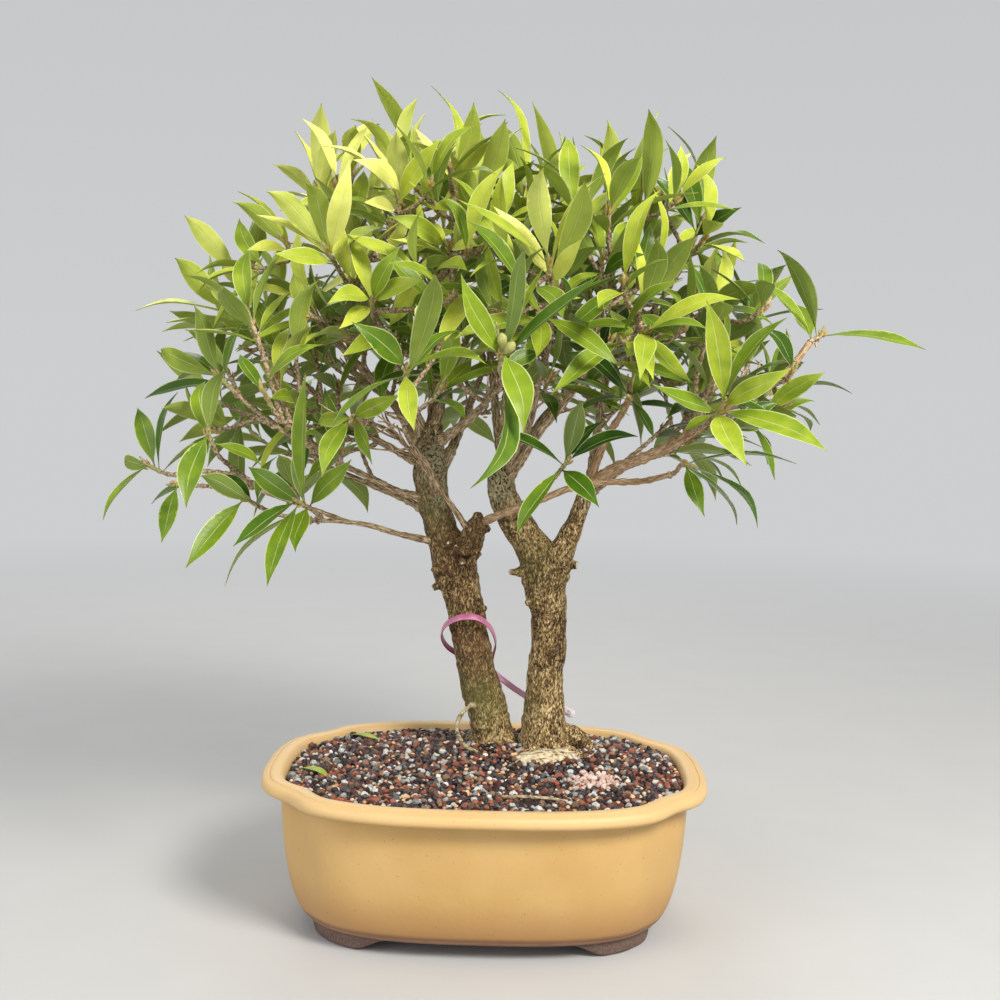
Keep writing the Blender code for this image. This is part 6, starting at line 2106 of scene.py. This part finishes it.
def tab_slot(end, along, out):
    """A raised oval rim on the tab's front."""
    middle = end - along * TAB_LENGTH * SLOT_PLACE
    across = along.cross(out).normalized()
    face = -out if out.y > 0 else out
    points, faces = [], []
    for k in range(SLOT_POINTS):
        turn = 2 * math.pi * k / SLOT_POINTS
        way = along * math.cos(turn) * SLOT_LONG + across * math.sin(turn) * SLOT_WIDE
        for j in range(SLOT_SIDES):
            lean = 2 * math.pi * j / SLOT_SIDES
            ring = way.normalized() * math.cos(lean) + face * math.sin(lean)
            points.append(middle + way + face * STRAP_THICKNESS * SLOT_RISE + ring * SLOT_RIM)
        faces += ring_faces(k * SLOT_SIDES, (k + 1) % SLOT_POINTS * SLOT_SIDES, SLOT_SIDES)
    return points, faces


def build_loose(leaf_materials, bark):
    """The fallen leaves and the twig, on the soil where the solids lie."""
    low, high = cad_box()
    bounds = (np.array(low), np.array(high))
    for name, (x, y, heading) in LYING_LEAVES.items():
        way = Vector((math.cos(heading), math.sin(heading), 0)) * LYING_LEAF_LENGTH
        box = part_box(name)
        base = Vector((x, y, box[0].z / MM + LYING_LIFT))
        batch = Batch()
        draw = random.Random(name)
        fine_leaf(batch, base, base + way, UP, LYING_LEAF_WIDTH, LYING_TONE, draw, bounds)
        finish_piece(batch.build("green_" + name, leaf_materials), [name])
    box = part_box("fallen_twig")
    rows = [(x, y, box[0].z / MM + LYING_LIFT + bow, radius) for x, y, bow, radius in LYING_TWIG]
    draw = random.Random(LYING_TWIG_SEED)
    points, faces, places = fine_tube(rows, LYING_TWIG_STEP, LYING_TWIG_SIDES, draw, BRANCH_KNOTS)
    add_piece("grey_twig", points, faces, bark, ["fallen_twig"], places)


def build_screens(material):
    """Square plastic mesh: bars both ways, one piece a screen."""
    half = SCREEN_SIZE / 2
    height = FLOOR_HEIGHT + GAP + SCREEN_THICKNESS / 2
    for name, x in (("drain_screen_left", -DRAIN_X), ("drain_screen_right", DRAIN_X)):
        points, faces = [], []
        for k in range(SCREEN_BARS + 1):
            place = -half + SCREEN_SIZE * k / SCREEN_BARS
            for ends in (((x + place, -half), (x + place, half)), ((x - half, place), (x + half, place))):
                bar = tube([Vector((*end, height)) for end in ends], [SCREEN_THICKNESS / 2] * 2, BAR_SIDES)
                append_shape(points, faces, *bar)
        add_piece("mesh_" + name, points, faces, material, [name])


# Stage

# The floor in metres: its radius, its gap to the feet and where it fades into the sky
FLOOR_RADIUS = 60.0
FLOOR_SIDES = 96
FLOOR_GAP = 0.0002
FLOOR_NEAR = 0.3
FLOOR_FAR = 2.0
# The sky's brightness at its foot and overhead
SKY_LOW = 0.62
SKY_HIGH = 0.46
LIGHT_AIM = (0, 0, 220)
# Name, place, size in metres, power in watts, colour
LIGHTS = [
    ("key", (720, -950, 1100), 0.45, 26.0, (1.0, 0.965, 0.9)),
    ("fill", (-1000, -850, 700), 1.0, 7.0, (0.97, 0.98, 1.0)),
    ("back", (-300, 1200, 1100), 0.9, 7.0, (1.0, 0.98, 0.94)),
]


def to_world(point):
    return (Vector(point) + ORIGIN) * MM


def sky_colour(level):
    return level * 0.985, level, level * 1.01, 1.0


def build_world():
    """A pale sky, a little darker overhead, that meets the far floor in the same tone."""
    world = bpy.data.worlds.new("studio")
    world.use_nodes = True
    tree = world.node_tree
    sky = tree.nodes["Background"]
    coords = tree.nodes.new("ShaderNodeTexCoord")
    split = tree.nodes.new("ShaderNodeSeparateXYZ")
    ramp = tree.nodes.new("ShaderNodeValToRGB")
    tree.links.new(coords.outputs["Generated"], split.inputs[0])
    tree.links.new(split.outputs["Z"], ramp.inputs["Fac"])
    tree.links.new(ramp.outputs["Color"], sky.inputs["Color"])
    for element, (place, level) in zip(ramp.color_ramp.elements, ((0.0, SKY_LOW), (1.0, SKY_HIGH))):
        element.position = place
        element.color = sky_colour(level)
    bpy.context.scene.world = world


def build_stage():
    """The floor, just under the feet, and the lights."""
    turns = [2 * math.pi * k / FLOOR_SIDES for k in range(FLOOR_SIDES)]
    ring = [(FLOOR_RADIUS * math.cos(turn), FLOOR_RADIUS * math.sin(turn), 0) for turn in turns]
    floor_mesh = bpy.data.meshes.new("floor")
    floor_mesh.from_pydata(ring, [], [tuple(range(FLOOR_SIDES))])
    floor_mesh.materials.append(floor_material())
    floor = new_object("floor", floor_mesh)
    floor.location.z = -FLOOR_GAP
    for name, place, size, power, colour in LIGHTS:
        light = bpy.data.lights.new(name, "AREA")
        light.size = size
        light.energy = power
        light.color = colour
        item = new_object(name, light)
        item.location = to_world(place)
        item.rotation_euler = (to_world(LIGHT_AIM) - item.location).to_track_quat("-Z", "Y").to_euler()
    bpy.context.scene.view_settings.view_transform = "Standard"


def build_camera():
    """The camera of the photograph."""
    data = bpy.data.cameras.new("photo_camera")
    data.lens = LENS
    data.sensor_width = SENSOR
    data.clip_start = 0.01
    camera = new_object("photo_camera", data)
    right, top, ahead = photo_axes()
    turn = Matrix((right, top, -ahead)).transposed()
    camera.matrix_world = Matrix.Translation(to_world(CAMERA_PLACE)) @ turn.to_4x4()
    bpy.context.scene.camera = camera


def paint_soil():
    """The soil's solid is carried over and shows only between the grains, nearly black as painted shade."""
    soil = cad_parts["soil"]
    soil.data.materials.clear()
    soil.data.materials.append(soil_material())


def main():
    bark = branch_material()
    leaf_materials = [leaf_material(), stem_material(), bud_material()]
    build_foliage(leaf_materials)
    build_trunks(trunk_material())
    build_branches(bark)
    clay = clay_material()
    build_pot(glaze_material(), clay)
    build_feet(clay)
    build_grains()
    build_strap(strap_material())
    build_loose(leaf_materials, bark)
    build_screens(screen_material())
    paint_soil()
    build_camera()
    build_world()
    build_stage()


main()
